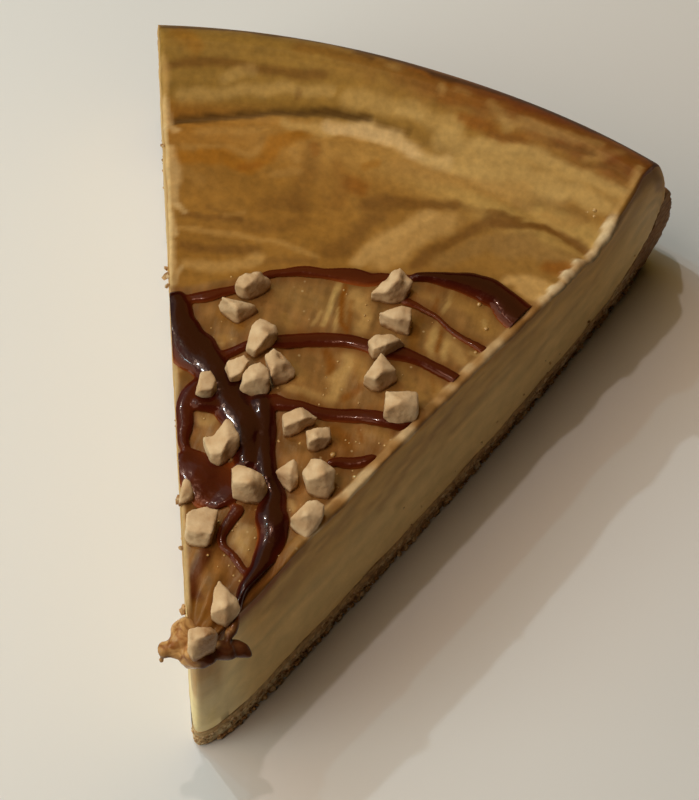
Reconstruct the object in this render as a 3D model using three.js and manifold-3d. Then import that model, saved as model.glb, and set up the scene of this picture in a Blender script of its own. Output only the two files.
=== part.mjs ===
import * as THREE from 'three';
import { mergeVertices } from 'three/addons/utils/BufferGeometryUtils.js';
import { ConvexGeometry } from 'three/addons/geometries/ConvexGeometry.js';
import Module from 'manifold-3d';

// A slice of salted caramel cheesecake: a pressed crumb base with a lip at the back, a baked
// cream body with a raised rim, caramel drizzled over the front, and lumps of toffee on top.
// Millimetres, +Z up. The cake's centre is the point of the slice, and its rim faces +Y.

// The whole cake and how it was cut
const CAKE_RADIUS = 120;
const SLICE_COUNT = 8;
const HALF_ANGLE = Math.PI / SLICE_COUNT;
const TIP_RADIUS = 1.5;              // the point starts this far from the cake's centre
const NOSE_ROUNDING = 1.6;           // half the width of the worn point
const RIGHT_FOOT_SPREAD = 1.7;       // how far the foot of the right cut stands out near the tip
const RIGHT_PLUMB_RADIUS = 85;       // the right cut is upright here and leans in behind it
const LEFT_FOOT_SPREAD = 1.3;
const LEFT_PLUMB_RADIUS = 115;
const BACK_FLATNESS = 2;             // the back is this much flatter than a true arc

// Heights of the layers
const TOP_HEIGHT = 35.6;             // surface of the cream under the caramel
const RIM_HEIGHT = 40;               // crown of the baked rim
const RIM_RIGHT_RISE = 1.3;          // the rim climbs this much more towards the right cut
const CRUST_THICKNESS = 5.2;
const CRUST_LIP_HEIGHT = 26.9;       // the crumb climbs the outer wall up to here
const CRAG_DEPTH = 0.35;             // unevenness of the crumb at the cuts
const LAYER_GAP = 0.3;

// The baked top, by distance from the cake's centre
const DISH_RADIUS = 84;              // middle of the shallow sunk ring
const DISH_WIDTH = 20;
const DISH_DEPTH = 2.4;
const CREASE_RADIUS = 95;            // wrinkle at the foot of the rim
const CREASE_DEPTH = 1.1;
const CREASE_WIDTH = 1.7;
const CREASE_WANDER = 1.6;           // how far the wrinkle strays from its radius
const SECOND_CREASE_RADIUS = 102;    // softer wrinkle on the rim, on the left only
const SECOND_CREASE_DEPTH = 0.45;
const RIM_FOOT_RADIUS = 94;
const SHOULDER_RADIUS = 6;
const CROWN_RADIUS = 105.7;          // the shoulder rolls down from here
const WAVE_HEIGHT = 0.3;             // slow unevenness of the top in front of the rim
const WALL_FOOT = [113.6, 28.2];     // radius and height where the cream meets the crumb lip

// Mesh fineness
const COLUMNS = 14;
const FRONT_ROWS = 17;
const BACK_ROWS = 14;
const BACK_SHARE = 0.27;             // share of a row path that the back rows take
const BODY_LAYERS = 4;
const CRUST_LAYERS = 2;
const STRAND_RING = 6;               // points round a run of caramel

const COLOURS = { cream: 0xd9c08c, crumb: 0x7d5a33, toffee: 0xd2bd95 };

const smooth = (from, to, value) => THREE.MathUtils.smoothstep(value, from, to);
const bell = (distance, width) => Math.exp(-((distance / width) ** 2));
const ripple = (x, y) => 0.5 * (Math.sin(0.31 * x + 0.17 * y) + Math.sin(0.23 * y - 0.41 * x + 2));

const rimHeight = (side) => RIM_HEIGHT + RIM_RIGHT_RISE * smooth(0, 1, side);

// Height of the baked top at a radius; side runs from -1 at the left cut to 1 at the right
function topHeight(radius, side) {
  const dish = DISH_DEPTH * (0.75 + 0.25 * side) * bell(radius - DISH_RADIUS, DISH_WIDTH);
  const wander = CREASE_WANDER * Math.cos(2.2 * side + 0.4);
  const crease = CREASE_DEPTH * bell(radius - CREASE_RADIUS - wander, CREASE_WIDTH);
  const secondCrease = SECOND_CREASE_DEPTH * (1 - smooth(-0.4, 0.6, side))
    * bell(radius - SECOND_CREASE_RADIUS, CREASE_WIDTH);
  const rimShare = smooth(RIM_FOOT_RADIUS, CROWN_RADIUS, radius);
  const rim = (rimHeight(side) - TOP_HEIGHT) * rimShare;
  const waves = WAVE_HEIGHT * (1 - rimShare) * ripple(radius, 40 * side);
  return TOP_HEIGHT - dish - crease - secondCrease + rim + waves;
}

// Puts a point given by radius, side and height on the real, slightly uneven wedge
function place(radius, side, height) {
  const flat = radius * Math.sin(HALF_ANGLE);
  const nose = Math.hypot(flat, NOSE_ROUNDING) - flat;
  const angle = side * HALF_ANGLE;
  const noseDepth = Math.exp((TIP_RADIUS - radius) / 3) * side ** 2;
  const spread = side > 0
    ? RIGHT_FOOT_SPREAD * (1 - (radius / RIGHT_PLUMB_RADIUS) ** 3)
    : LEFT_FOOT_SPREAD * (1 - (radius / LEFT_PLUMB_RADIUS) ** 4);
  const push = spread * (1 - height / TOP_HEIGHT) * side ** 2 * smooth(-6, 12, radius);
  const reach = radius - BACK_FLATNESS * (1 - side ** 2) * smooth(60, CAKE_RADIUS, radius);
  return new THREE.Vector3(
    reach * Math.sin(angle) + side * nose + Math.sign(side) * push * Math.cos(HALF_ANGLE),
    reach * Math.cos(angle) + noseDepth - push * Math.sin(HALF_ANGLE),
    height,
  );
}

// Height of the top at a place given by its coordinates, for what lies on it
function heightAt(x, y) {
  const radius = Math.hypot(x, y);
  const side = THREE.MathUtils.clamp(Math.atan2(x, y) / HALF_ANGLE, -1, 1);
  return topHeight(radius, side);
}

// Fractions along a row path, closer together over the rim
function rowFractions() {
  const fractions = [];
  for (let row = 0; row <= FRONT_ROWS; row += 1) fractions.push((1 - BACK_SHARE) * row / FRONT_ROWS);
  for (let row = 1; row <= BACK_ROWS; row += 1) {
    fractions.push(1 - BACK_SHARE + BACK_SHARE * row / BACK_ROWS);
  }
  return fractions;
}

// Closed skin of a block of rows (tip to rim), columns (left to right) and layers (down to up)
function blockGeometry(rows, columns, layers, at) {
  const positions = [];
  const index = [];
  const numbers = new Map();
  const vertex = (row, column, layer) => {
    const key = `${row} ${column} ${layer}`;
    if (!numbers.has(key)) {
      numbers.set(key, numbers.size);
      positions.push(...at(row, column / columns, layer / layers).toArray());
    }
    return numbers.get(key);
  };
  const side = (countA, countB, corner) => {
    for (let a = 0; a < countA; a += 1) {
      for (let b = 0; b < countB; b += 1) {
        const [p, q, r, s] = [corner(a, b), corner(a + 1, b), corner(a + 1, b + 1), corner(a, b + 1)];
        index.push(p, q, r, p, r, s);
      }
    }
  };
  side(columns, rows, (a, b) => vertex(b, a, layers));
  side(rows, columns, (a, b) => vertex(a, b, 0));
  side(rows, layers, (a, b) => vertex(a, columns, b));
  side(layers, rows, (a, b) => vertex(b, 0, a));
  side(layers, columns, (a, b) => vertex(rows, b, a));
  side(columns, layers, (a, b) => vertex(0, a, b));
  const geometry = new THREE.BufferGeometry();
  geometry.setAttribute('position', new THREE.Float32BufferAttribute(positions, 3));
  geometry.setIndex(index);
  return geometry;
}

// Where the crumb meets the cream, as radius and height from the tip to the top of the lip
function crustInside() {
  return new THREE.Path()
    .moveTo(TIP_RADIUS, CRUST_THICKNESS)
    .lineTo(99, CRUST_THICKNESS)
    .bezierCurveTo(108, CRUST_THICKNESS, 113.6, 11, 113.9, 20)
    .lineTo(114.2, CRUST_LIP_HEIGHT);
}

// Underside and outer wall of the crumb, with its rounded lower edge
function crustOutside() {
  return new THREE.Path()
    .moveTo(TIP_RADIUS, 0)
    .lineTo(112.5, 0)
    .bezierCurveTo(117, 0.4, CAKE_RADIUS, 4, CAKE_RADIUS, 9)
    .bezierCurveTo(CAKE_RADIUS, 15, 117.4, 21, 115, CRUST_LIP_HEIGHT);
}

// The crumb: pressed flat under the cream and up the outer wall
function crustGeometry(fractions) {
  const inside = crustInside();
  const outside = crustOutside();
  const rows = fractions.length - 1;
  return blockGeometry(rows, COLUMNS, CRUST_LAYERS, (row, across, up) => {
    const low = outside.getPointAt(fractions[row]);
    const high = inside.getPointAt(fractions[row]);
    const point = low.lerp(high, up);
    const side = 2 * across - 1;
    const crag = up > 0 && up < 1 ? CRAG_DEPTH * ripple(9 * point.x, 30 * side) : 0;
    return place(point.x, side * (1 + crag / (point.x + 10)), point.y);
  });
}

// The cream: its underside follows the crumb, its top is baked into a dish and a rim
function creamGeometry(fractions) {
  const inside = crustInside();
  const rows = fractions.length - 1;
  const crownReach = CROWN_RADIUS - TIP_RADIUS;
  const shoulderReach = SHOULDER_RADIUS * Math.PI / 2;
  const wallTopRadius = CROWN_RADIUS + SHOULDER_RADIUS;
  const wallReach = RIM_HEIGHT - SHOULDER_RADIUS - WALL_FOOT[1];
  const reach = crownReach + shoulderReach + wallReach;
  const upperPoint = (fraction, side) => {
    const travelled = fraction * reach;
    if (travelled <= crownReach) {
      const radius = TIP_RADIUS + travelled;
      return new THREE.Vector2(radius, topHeight(radius, side));
    }
    if (travelled <= crownReach + shoulderReach) {
      const turn = (travelled - crownReach) / SHOULDER_RADIUS;
      const drop = SHOULDER_RADIUS * (1 - Math.cos(turn));
      return new THREE.Vector2(CROWN_RADIUS + SHOULDER_RADIUS * Math.sin(turn), rimHeight(side) - drop);
    }
    const share = (travelled - crownReach - shoulderReach) / wallReach;
    const wallTop = new THREE.Vector2(wallTopRadius, rimHeight(side) - SHOULDER_RADIUS);
    return wallTop.lerp(new THREE.Vector2(...WALL_FOOT), share);
  };
  return blockGeometry(rows, COLUMNS, BODY_LAYERS, (row, across, up) => {
    const side = 2 * across - 1;
    const low = inside.getPointAt(fractions[row]);
    const along = inside.getTangentAt(fractions[row]);
    low.add(new THREE.Vector2(-along.y, along.x).multiplyScalar(LAYER_GAP));
    const point = low.lerp(upperPoint(fractions[row], side), up);
    return place(point.x, side, point.y);
  });
}

// A run of caramel lying on the top: a flattened tube with round ends
function strandGeometry({ route, widths, height, sections }) {
  const points = route.map(([x, y]) => new THREE.Vector3(x, y, 0));
  const curve = new THREE.CatmullRomCurve3(points, false, 'centripetal');
  const positions = [];
  const index = [];
  const widthAt = (share) => {
    const span = share * (widths.length - 1);
    const first = Math.min(Math.floor(span), widths.length - 2);
    return THREE.MathUtils.lerp(widths[first], widths[first + 1], span - first);
  };
  for (let section = 0; section <= sections; section += 1) {
    const share = section / sections;
    const centre = curve.getPointAt(share);
    const tangent = curve.getTangentAt(share);
    const swell = Math.sqrt(Math.min(1, Math.sin(Math.PI * share) * sections / 3 + 0.12));
    const halfWidth = 0.5 * widthAt(share) * swell;
    centre.z = heightAt(centre.x, centre.y) + 0.1;
    for (let step = 0; step < STRAND_RING; step += 1) {
      const turn = 2 * Math.PI * step / STRAND_RING;
      positions.push(
        centre.x + tangent.y * halfWidth * Math.cos(turn),
        centre.y - tangent.x * halfWidth * Math.cos(turn),
        centre.z + height * swell * Math.sin(turn),
      );
    }
  }
  const number = (section, step) => section * STRAND_RING + step % STRAND_RING;
  for (let section = 0; section < sections; section += 1) {
    for (let step = 0; step < STRAND_RING; step += 1) {
      const [p, q] = [number(section, step), number(section + 1, step)];
      const [r, s] = [number(section + 1, step + 1), number(section, step + 1)];
      index.push(p, q, r, p, r, s);
    }
  }
  for (let step = 1; step < STRAND_RING - 1; step += 1) {
    index.push(number(0, 0), number(0, step), number(0, step + 1));
    index.push(number(sections, 0), number(sections, step + 1), number(sections, step));
  }
  const geometry = new THREE.BufferGeometry();
  geometry.setAttribute('position', new THREE.Float32BufferAttribute(positions, 3));
  geometry.setIndex(index);
  return geometry;
}

// Runs of caramel, each from its first to its last point, with the cake's centre as zero
const STRANDS = [
  { name: 'outer arc', widths: [0.9, 1.2, 1.7, 1.8, 2.2, 3.6, 3.2], height: 0.9, sections: 16,
    route: [[-22, 56.5], [-15.5, 61.8], [-10, 65], [-5.5, 68], [1, 69.8], [8, 71], [16, 73.5], [22, 74],
      [28.5, 72.2]] },
  { name: 'short branch', widths: [1.4, 1.2, 1.4], height: 0.6, sections: 6,
    route: [[11.5, 68], [17, 66.2], [22, 64.2], [25.5, 62.6]] },
  { name: 'second arc', widths: [2, 1.9, 2, 2.4], height: 0.9, sections: 12,
    route: [[-12.5, 48.2], [-9, 51.7], [-5, 54.2], [0.5, 56.7], [7, 58.4], [13.5, 58.6], [23, 57]] },
  { name: 'third arc', widths: [2.6, 2.2, 2.2, 2], height: 0.9, sections: 8,
    route: [[-3, 44.2], [2.5, 44.7], [8, 45.2], [13.5, 46.2], [18, 46.6]] },
  { name: 'right dab', widths: [1.8, 2.4, 1.6], height: 0.8, sections: 4,
    route: [[8.5, 36.8], [12, 38.2], [15, 40]] },
  { name: 'main rope', widths: [3, 4.2, 3.4, 3.2, 3.6, 3.2], height: 1.5, sections: 16,
    route: [[-21, 54.2], [-19, 49.5], [-15, 46.5], [-11, 43], [-7.5, 39.5], [-5, 35.5], [-3, 31], [-2, 27]] },
  { name: 'rope beside it', widths: [2.6, 3, 2.8, 3, 2], height: 1.5, sections: 12,
    route: [[-5, 44], [-3, 39.5], [0, 35], [2.8, 30.5], [4.8, 25.5], [5.6, 20.5], [5, 15]] },
  { name: 'left loop', widths: [1.5, 1.5, 1.8], height: 0.6, sections: 6,
    route: [[-14.8, 43.5], [-16, 40], [-14.8, 36.4], [-13.6, 33.4]] },
  { name: 'dark pool', widths: [4.5, 5.5, 4], height: 0.8, sections: 6,
    route: [[-11, 29.8], [-7.5, 29], [-3.5, 27.5]] },
  { name: 'fine thread', widths: [1.2, 1, 1.2], height: 0.5, sections: 6,
    route: [[-2.8, 25], [-2.6, 20], [1, 17.7], [4.3, 15.8]] },
  { name: 'edge run', widths: [1.8, 1.6, 1.4], height: 0.8, sections: 6,
    route: [[6.2, 18.5], [4.6, 13.5], [3.4, 9.5]] },
];

// Caramel round the point: middle of each rounded lump, then its half sizes
const TIP_LUMPS = [
  { name: 'mound', centre: [-0.2, 4, 35], half: [3.4, 4, 2] },
  { name: 'skirt', centre: [0, 1.6, 33], half: [2.3, 1.7, 3.4] },
  { name: 'left lobe', centre: [-3.4, 1.4, 33.6], half: [2.6, 1.6, 1.5] },
  { name: 'right lobe', centre: [4.4, 4.9, 32], half: [2.5, 2, 2.7] },
];

// Toffee lumps: middle on the top, then width, depth, height, turn in degrees and taper.
// lift raises a lump that leans on its neighbours.
const TOFFEE = [
  { at: [-12, 61.5], size: [6.2, 4.4, 4.2], turn: -10, taper: 0.75 },
  { at: [-12.9, 57.2], size: [5.8, 3.1, 3.2], turn: -20, taper: 0.65 },
  { at: [-7.5, 53.4], size: [4.8, 5, 4.6], turn: 22, taper: 0.8 },
  { at: [-10.7, 47.8], size: [3.6, 3.7, 3.6], turn: 12, taper: 0.8 },
  { at: [-6, 44.5], size: [4.8, 4.1, 4.4], turn: 10, taper: 0.85, lift: 1.6 },
  { at: [-2.7, 49.3], size: [4.6, 4.2, 3.8], turn: 4, taper: 0.7 },
  { at: [-13, 43.4], size: [3.4, 3.8, 3.4], turn: 14, taper: 0.8 },
  { at: [-7.7, 34.4], size: [5.2, 6.4, 4.6], turn: 42, taper: 0.55 },
  { at: [-1.1, 29.2], size: [5.2, 5.2, 4.2], turn: 12, taper: 0.85 },
  { at: [-9.4, 25.2], size: [2.4, 4, 3.4], turn: 16, taper: 0.7 },
  { at: [-5.7, 20.1], size: [4.8, 5, 3.8], turn: 15, taper: 0.9 },
  { at: [2, 42.2], size: [5.8, 3.9, 3.8], turn: 18, taper: 0.65 },
  { at: [6.9, 39.4], size: [3.4, 3.4, 3.4], turn: 14, taper: 0.75 },
  { at: [3, 32.8], size: [2.8, 4.1, 3.8], turn: -30, taper: 0.6 },
  { at: [8.4, 33.4], size: [5.4, 5.2, 4.4], turn: 24, taper: 0.8 },
  { at: [8.2, 27], size: [4.1, 5.2, 4], turn: -26, taper: 0.7 },
  { at: [7.9, 68.7], size: [5.6, 5.2, 6], turn: 12, taper: 0.4 },
  { at: [10.2, 63.3], size: [4.8, 3.5, 3.8], turn: 24, taper: 0.8 },
  { at: [10.3, 58.5], size: [5.6, 3.4, 3.8], turn: 14, taper: 0.7 },
  { at: [11.1, 53.6], size: [4.4, 4.6, 4], turn: -8, taper: 0.65 },
  { at: [15.9, 48.6], size: [5, 5, 4], turn: 16, taper: 0.9 },
  { at: [1.3, 9.9], size: [3.5, 5.8, 3.8], turn: -4, taper: 0.65, lift: 0.8 },
  { at: [0.7, 2.7], size: [4.8, 3.6, 5], turn: 14, taper: 0.75, lift: 0.8 },
];
const TOFFEE_SINK = 0.9;             // how deep a lump sits in the caramel
const TOFFEE_SEED = 4711;

// Small repeatable source of random numbers from 0 to 1
function randomSource(seed) {
  let state = seed;
  return () => {
    state = (state * 1664525 + 1013904223) % 4294967296;
    return state / 4294967296;
  };
}

// A broken lump: a tapered box with uneven corners, each corner knocked off
function toffeeGeometry({ at, size, turn, taper, lift = 0 }, random, margin) {
  const points = [];
  const spin = THREE.MathUtils.degToRad(turn);
  const middle = new THREE.Vector3(at[0], at[1], heightAt(...at) + lift - TOFFEE_SINK + size[2] / 2);
  const shape = size.map((length) => length / 2 + margin);
  for (const cornerX of [-1, 1]) {
    for (const cornerY of [-1, 1]) {
      for (const cornerZ of [-1, 1]) {
        const shrink = cornerZ > 0 ? taper + (1 - taper) * random() * 0.7 : 0.88 + 0.12 * random();
        const corner = [cornerX * shrink, cornerY * shrink, cornerZ * (0.8 + 0.2 * random())];
        for (const axis of [0, 1, 2]) {
          const cut = 0.62 + 0.25 * random();
          const knocked = corner.map((value, other) => (other === axis ? value * cut : value));
          const point = new THREE.Vector3(...knocked.map((value, other) => value * shape[other]));
          points.push(point.applyAxisAngle(new THREE.Vector3(0, 0, 1), spin).add(middle));
        }
      }
    }
  }
  return new ConvexGeometry(points);
}

// Joins and cuts
const wasm = await Module();
wasm.setup();

function solidOf(geometry) {
  const bare = geometry.clone();
  bare.deleteAttribute('normal');
  bare.deleteAttribute('uv');
  const merged = mergeVertices(bare, 1e-4);
  return new wasm.Manifold(new wasm.Mesh({
    numProp: 3,
    vertProperties: new Float32Array(merged.attributes.position.array),
    triVerts: new Uint32Array(merged.index.array),
  }));
}

function geometryOf(solid) {
  const mesh = solid.getMesh();
  const geometry = new THREE.BufferGeometry();
  geometry.setAttribute('position', new THREE.Float32BufferAttribute(mesh.vertProperties, 3));
  geometry.setIndex(Array.from(mesh.triVerts));
  return geometry;
}

function lumpGeometry({ centre, half }) {
  return new THREE.SphereGeometry(1, 10, 7).scale(...half).translate(...centre);
}

function namedMesh(name, geometry, colour, roughness) {
  const flat = geometry.index ? geometry.toNonIndexed() : geometry;
  flat.computeVertexNormals();
  const material = new THREE.MeshStandardMaterial({ color: colour, roughness, metalness: 0 });
  const mesh = new THREE.Mesh(flat, material);
  mesh.name = name;
  return mesh;
}

const fractions = rowFractions();

// The cream body, with the caramel fused on and a pocket pressed by each toffee lump
let body = solidOf(creamGeometry(fractions));
for (const strand of STRANDS) body = body.add(solidOf(strandGeometry(strand)));
for (const lump of TIP_LUMPS) body = body.add(solidOf(lumpGeometry(lump)));
TOFFEE.forEach((lump, number) => {
  const pocket = toffeeGeometry(lump, randomSource(TOFFEE_SEED + number), LAYER_GAP + 0.1);
  body = body.subtract(solidOf(pocket));
});

const slice = new THREE.Group();
slice.add(namedMesh('crumb_base', crustGeometry(fractions), COLOURS.crumb, 0.95));
slice.add(namedMesh('cheesecake_body', geometryOf(body), COLOURS.cream, 0.45));
TOFFEE.forEach((lump, number) => {
  const name = `toffee_piece_${String(number + 1).padStart(2, '0')}`;
  const geometry = toffeeGeometry(lump, randomSource(TOFFEE_SEED + number), 0);
  slice.add(namedMesh(name, geometry, COLOURS.toffee, 0.8));
});

// The slice stands on z = 0, with the middle of its box over the origin
const box = new THREE.Box3().setFromObject(slice);
const middle = box.getCenter(new THREE.Vector3());
slice.position.set(-middle.x, -middle.y, -box.min.z);

export default slice;
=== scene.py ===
import math

import bmesh
import bpy
import numpy as np
from mathutils import Matrix, Vector, noise


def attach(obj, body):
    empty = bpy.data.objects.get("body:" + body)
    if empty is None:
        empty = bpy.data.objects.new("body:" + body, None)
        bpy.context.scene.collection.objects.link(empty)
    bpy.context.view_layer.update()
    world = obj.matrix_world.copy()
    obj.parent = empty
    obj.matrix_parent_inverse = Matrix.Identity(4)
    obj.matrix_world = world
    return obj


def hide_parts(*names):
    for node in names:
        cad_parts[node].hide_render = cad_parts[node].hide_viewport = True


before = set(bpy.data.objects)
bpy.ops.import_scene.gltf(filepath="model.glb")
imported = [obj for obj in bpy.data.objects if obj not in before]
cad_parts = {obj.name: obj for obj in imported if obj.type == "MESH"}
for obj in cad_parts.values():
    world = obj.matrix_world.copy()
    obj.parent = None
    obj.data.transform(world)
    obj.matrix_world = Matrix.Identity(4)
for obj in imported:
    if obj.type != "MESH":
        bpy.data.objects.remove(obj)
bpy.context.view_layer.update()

# Camera
# It looks down past the point of the slice towards the rim. Its place, lens and tilt follow from
# the outline that an eighth of a round cake has in the photograph.
CAMERA_PLACE = Vector((0.06608, -0.22802, 0.44762))
CAMERA_TURN = math.radians(-14.743)     # clockwise from +Y
CAMERA_DIP = math.radians(61.4)
CAMERA_ROLL = math.radians(3.978)
CAMERA_LENS = 139.57
PICTURE_SIDE = 36                       # the picture's long side, in the lens's own millimetres

ahead = Vector((math.sin(CAMERA_TURN) * math.cos(CAMERA_DIP),
                math.cos(CAMERA_TURN) * math.cos(CAMERA_DIP), -math.sin(CAMERA_DIP)))
level = ahead.cross(Vector((0, 0, 1))).normalized()
above = level.cross(ahead)
camera_right = math.cos(CAMERA_ROLL) * level + math.sin(CAMERA_ROLL) * above
camera_up = math.cos(CAMERA_ROLL) * above - math.sin(CAMERA_ROLL) * level
camera_data = bpy.data.cameras.new("camera")
camera_data.lens = CAMERA_LENS
camera_data.sensor_width = PICTURE_SIDE
camera_data.clip_start = 0.01
camera = bpy.data.objects.new("camera", camera_data)
camera.matrix_world = (Matrix.Translation(CAMERA_PLACE)
                       @ Matrix((camera_right, camera_up, -ahead)).transposed().to_4x4())
bpy.context.collection.objects.link(camera)
bpy.context.scene.camera = camera

# Crumb base
# Biscuit crumbs bound with butter, pressed 5 mm thick into the tin and up its wall, and cut with
# the cake. A fine block follows the solid's wedge and is roughened wherever the crumb shows.
# All sizes from here on are in millimetres, and a radius is taken from the cake's centre.
MM = 0.001
CAKE_CENTRE = np.array([0.863, -58.894, 0.0])    # where all slices of the cake meet
HALF_ANGLE = math.pi / 8
CAKE_RADIUS = 120
TIP_RADIUS = 1.5
NOSE_ROUNDING = 1.3
NOSE_CURVE = 1.7            # how far the corners of the point lie behind its middle,
NOSE_REACH = 3              # and over what length that fades
TOP_HEIGHT = 35.6
RIGHT_FOOT = 1.7            # how far each cut leans out at its foot near the point,
RIGHT_UPRIGHT = 85          # and the radius where it stands upright
LEFT_FOOT = 0.2
LEFT_UPRIGHT = 115
LEFT_BULGE = 0.45           # how far the left cut bulges at its top
BACK_FLATTER = 2            # how much the back is flatter than the tin's round
CRUST_THICKNESS = 5.2
CRUST_LIP_HEIGHT = 26.9
CRUST_CELLS = (130, 250, 9)     # across, from the point to the rim, and through
CRUMB_LUMP = 1.5            # width of the lumps that stand out of a cut
CRUMB_RELIEF = 0.3
WALL_RELIEF = 0.35          # how much of that relief the tin's wall has left


def smooth(low, high, value):
    share = np.clip((value - low) / (high - low), 0, 1)
    return share * share * (3 - 2 * share)


def bell(distance, width):
    return np.exp(-(distance / width) ** 2)


def left_bulge(radius):
    return LEFT_BULGE * smooth(3, 10, radius) * (1 - smooth(62, 76, radius))


def on_wedge(radius, side, height):
    """Points of the slice from the cake's centre; side is -1 to 1 across it."""
    flat = radius * math.sin(HALF_ANGLE)
    nose = np.hypot(flat, NOSE_ROUNDING) - flat
    nose_depth = NOSE_CURVE * np.exp((TIP_RADIUS - radius) / NOSE_REACH) * side ** 2
    up = height / TOP_HEIGHT
    right_spread = RIGHT_FOOT * (1 - (radius / RIGHT_UPRIGHT) ** 3) * (1 - up)
    left_spread = LEFT_FOOT * (1 - (radius / LEFT_UPRIGHT) ** 4) * (1 - up) + left_bulge(radius) * up
    push = np.where(side > 0, right_spread, left_spread) * side ** 2 * smooth(-6, 12, radius)
    reach = radius - BACK_FLATTER * (1 - side ** 2) * smooth(60, CAKE_RADIUS, radius)
    turn = side * HALF_ANGLE
    return np.stack([
        reach * np.sin(turn) + side * nose + np.sign(side) * push * math.cos(HALF_ANGLE),
        reach * np.cos(turn) + nose_depth - push * math.sin(HALF_ANGLE),
        height + 0 * radius,
    ], axis=-1)


def in_frame(points):
    return (points + CAKE_CENTRE) * MM


def unit_block(columns, rows, layers):
    """A closed block of cells from 0 to 1: x across, y from the point to the rim, z up."""
    block = bmesh.new()
    bmesh.ops.create_cube(block, size=1, matrix=Matrix.Translation((0.5, 0.5, 0.5)))
    for axis, cells in enumerate((columns, rows, layers)):
        along = [e for e in block.edges if abs(e.verts[0].co[axis] - e.verts[1].co[axis]) > 0.5]
        bmesh.ops.subdivide_edges(block, edges=along, cuts=cells - 1, use_grid_fill=True)
    return block


def places_of(block):
    return np.array([v.co[:] for v in block.verts])


def bezier(start, near_start, near_end, end):
    t = np.linspace(0, 1, 40)[:, None]
    start, near_start, near_end, end = map(np.array, (start, near_start, near_end, end))
    return ((1 - t) ** 3 * start + 3 * (1 - t) ** 2 * t * near_start
            + 3 * (1 - t) * t ** 2 * near_end + t ** 3 * end)


def along_path(path, share):
    steps = np.hypot(*np.diff(path, axis=0).T)
    travelled = np.concatenate([[0], np.cumsum(steps)]) / steps.sum()
    return np.interp(share, travelled, path[:, 0]), np.interp(share, travelled, path[:, 1])


def noise_at(points, size, seed):
    """Smooth noise from -1 to 1 whose lumps are about size across."""
    shift = Vector((seed * 3.7, seed * 1.3, seed * 2.1))
    return np.array([noise.noise(Vector(p) / size + shift) for p in points])


def fill(piece, block, points, rounded=True):
    """Gives a piece the faces of a bmesh, with its points moved to the given places."""
    block.to_mesh(piece.data)
    block.free()
    piece.data.vertices.foreach_set("co", in_frame(points).ravel())
    piece.data.polygons.foreach_set("use_smooth", [rounded] * len(piece.data.polygons))
    piece.data.update()


def finished(name, block, points, rounded=True):
    made = bpy.data.objects.new(name, bpy.data.meshes.new(name))
    bpy.context.collection.objects.link(made)
    fill(made, block, points, rounded)
    return made


def store(piece, name, values):
    """Keeps a number, or three, at each point of a piece, for its material to read."""
    values = np.asarray(values, dtype=np.float32)
    kind = "FLOAT" if values.ndim == 1 else "FLOAT_VECTOR"
    layer = piece.data.attributes.new(name, kind, "POINT")
    layer.data.foreach_set("value" if kind == "FLOAT" else "vector", values.ravel())


def colour(code):
    """The linear colour of an sRGB hex code."""
    parts = [int(code[i:i + 2], 16) / 255 for i in (1, 3, 5)]
    return [p / 12.92 if p <= 0.04045 else ((p + 0.055) / 1.055) ** 2.4 for p in parts] + [1]


def add(tree, kind, inputs=None, **settings):
    """Adds a node; an input may be a value or the output that it is linked to."""
    made = tree.nodes.new("ShaderNode" + kind)
    for name, value in settings.items():
        setattr(made, name, value)
    for name, value in (inputs or {}).items():
        if isinstance(value, bpy.types.NodeSocket):
            tree.links.new(value, made.inputs[name])
        else:
            made.inputs[name].default_value = value
    return made


def new_material(name):
    material = bpy.data.materials.new(name)
    material.use_nodes = True
    tree = material.node_tree
    return material, tree, tree.nodes["Principled BSDF"]


def tinted(tree, base, share, code, most=1.0, broken_by=None):
    """Lays a colour over base where share is high, broken up by a noise."""
    if broken_by is not None:
        spread = add(tree, "MapRange", {"Value": broken_by, "From Min": 0.3, "From Max": 0.7,
                                        "To Min": 0.65, "To Max": 1.15}).outputs["Result"]
        share = add(tree, "Math", {0: share, 1: spread}, operation="MULTIPLY").outputs[0]
    share = add(tree, "Math", {0: share, 1: most}, operation="MULTIPLY", use_clamp=True).outputs[0]
    return add(tree, "Mix", {0: share, 6: base, 7: colour(code)}, data_type="RGBA").outputs[2]


# The crumb's inner and outer line, from the point along the floor of the tin and up its wall
crust_inside = np.vstack([
    [[TIP_RADIUS, CRUST_THICKNESS]],
    bezier((99, CRUST_THICKNESS), (108, CRUST_THICKNESS), (113.6, 11), (113.9, 20)),
    [[114.2, CRUST_LIP_HEIGHT]],
])
crust_outside = np.vstack([
    [[TIP_RADIUS, 0]],
    bezier((112.5, 0), (117, 0.4), (CAKE_RADIUS, 4), (CAKE_RADIUS, 9))[:-1],
    bezier((CAKE_RADIUS, 9), (CAKE_RADIUS, 15), (117.4, 21), (115, CRUST_LIP_HEIGHT)),
])

base_block = unit_block(*CRUST_CELLS)
cell = places_of(base_block)
low_radius, low_height = along_path(crust_outside, cell[:, 1])
high_radius, high_height = along_path(crust_inside, cell[:, 1])
radius = low_radius + (high_radius - low_radius) * cell[:, 2]
height = low_height + (high_height - low_height) * cell[:, 2]
side = 2 * cell[:, 0] - 1
points = on_wedge(radius, side, height)

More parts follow.
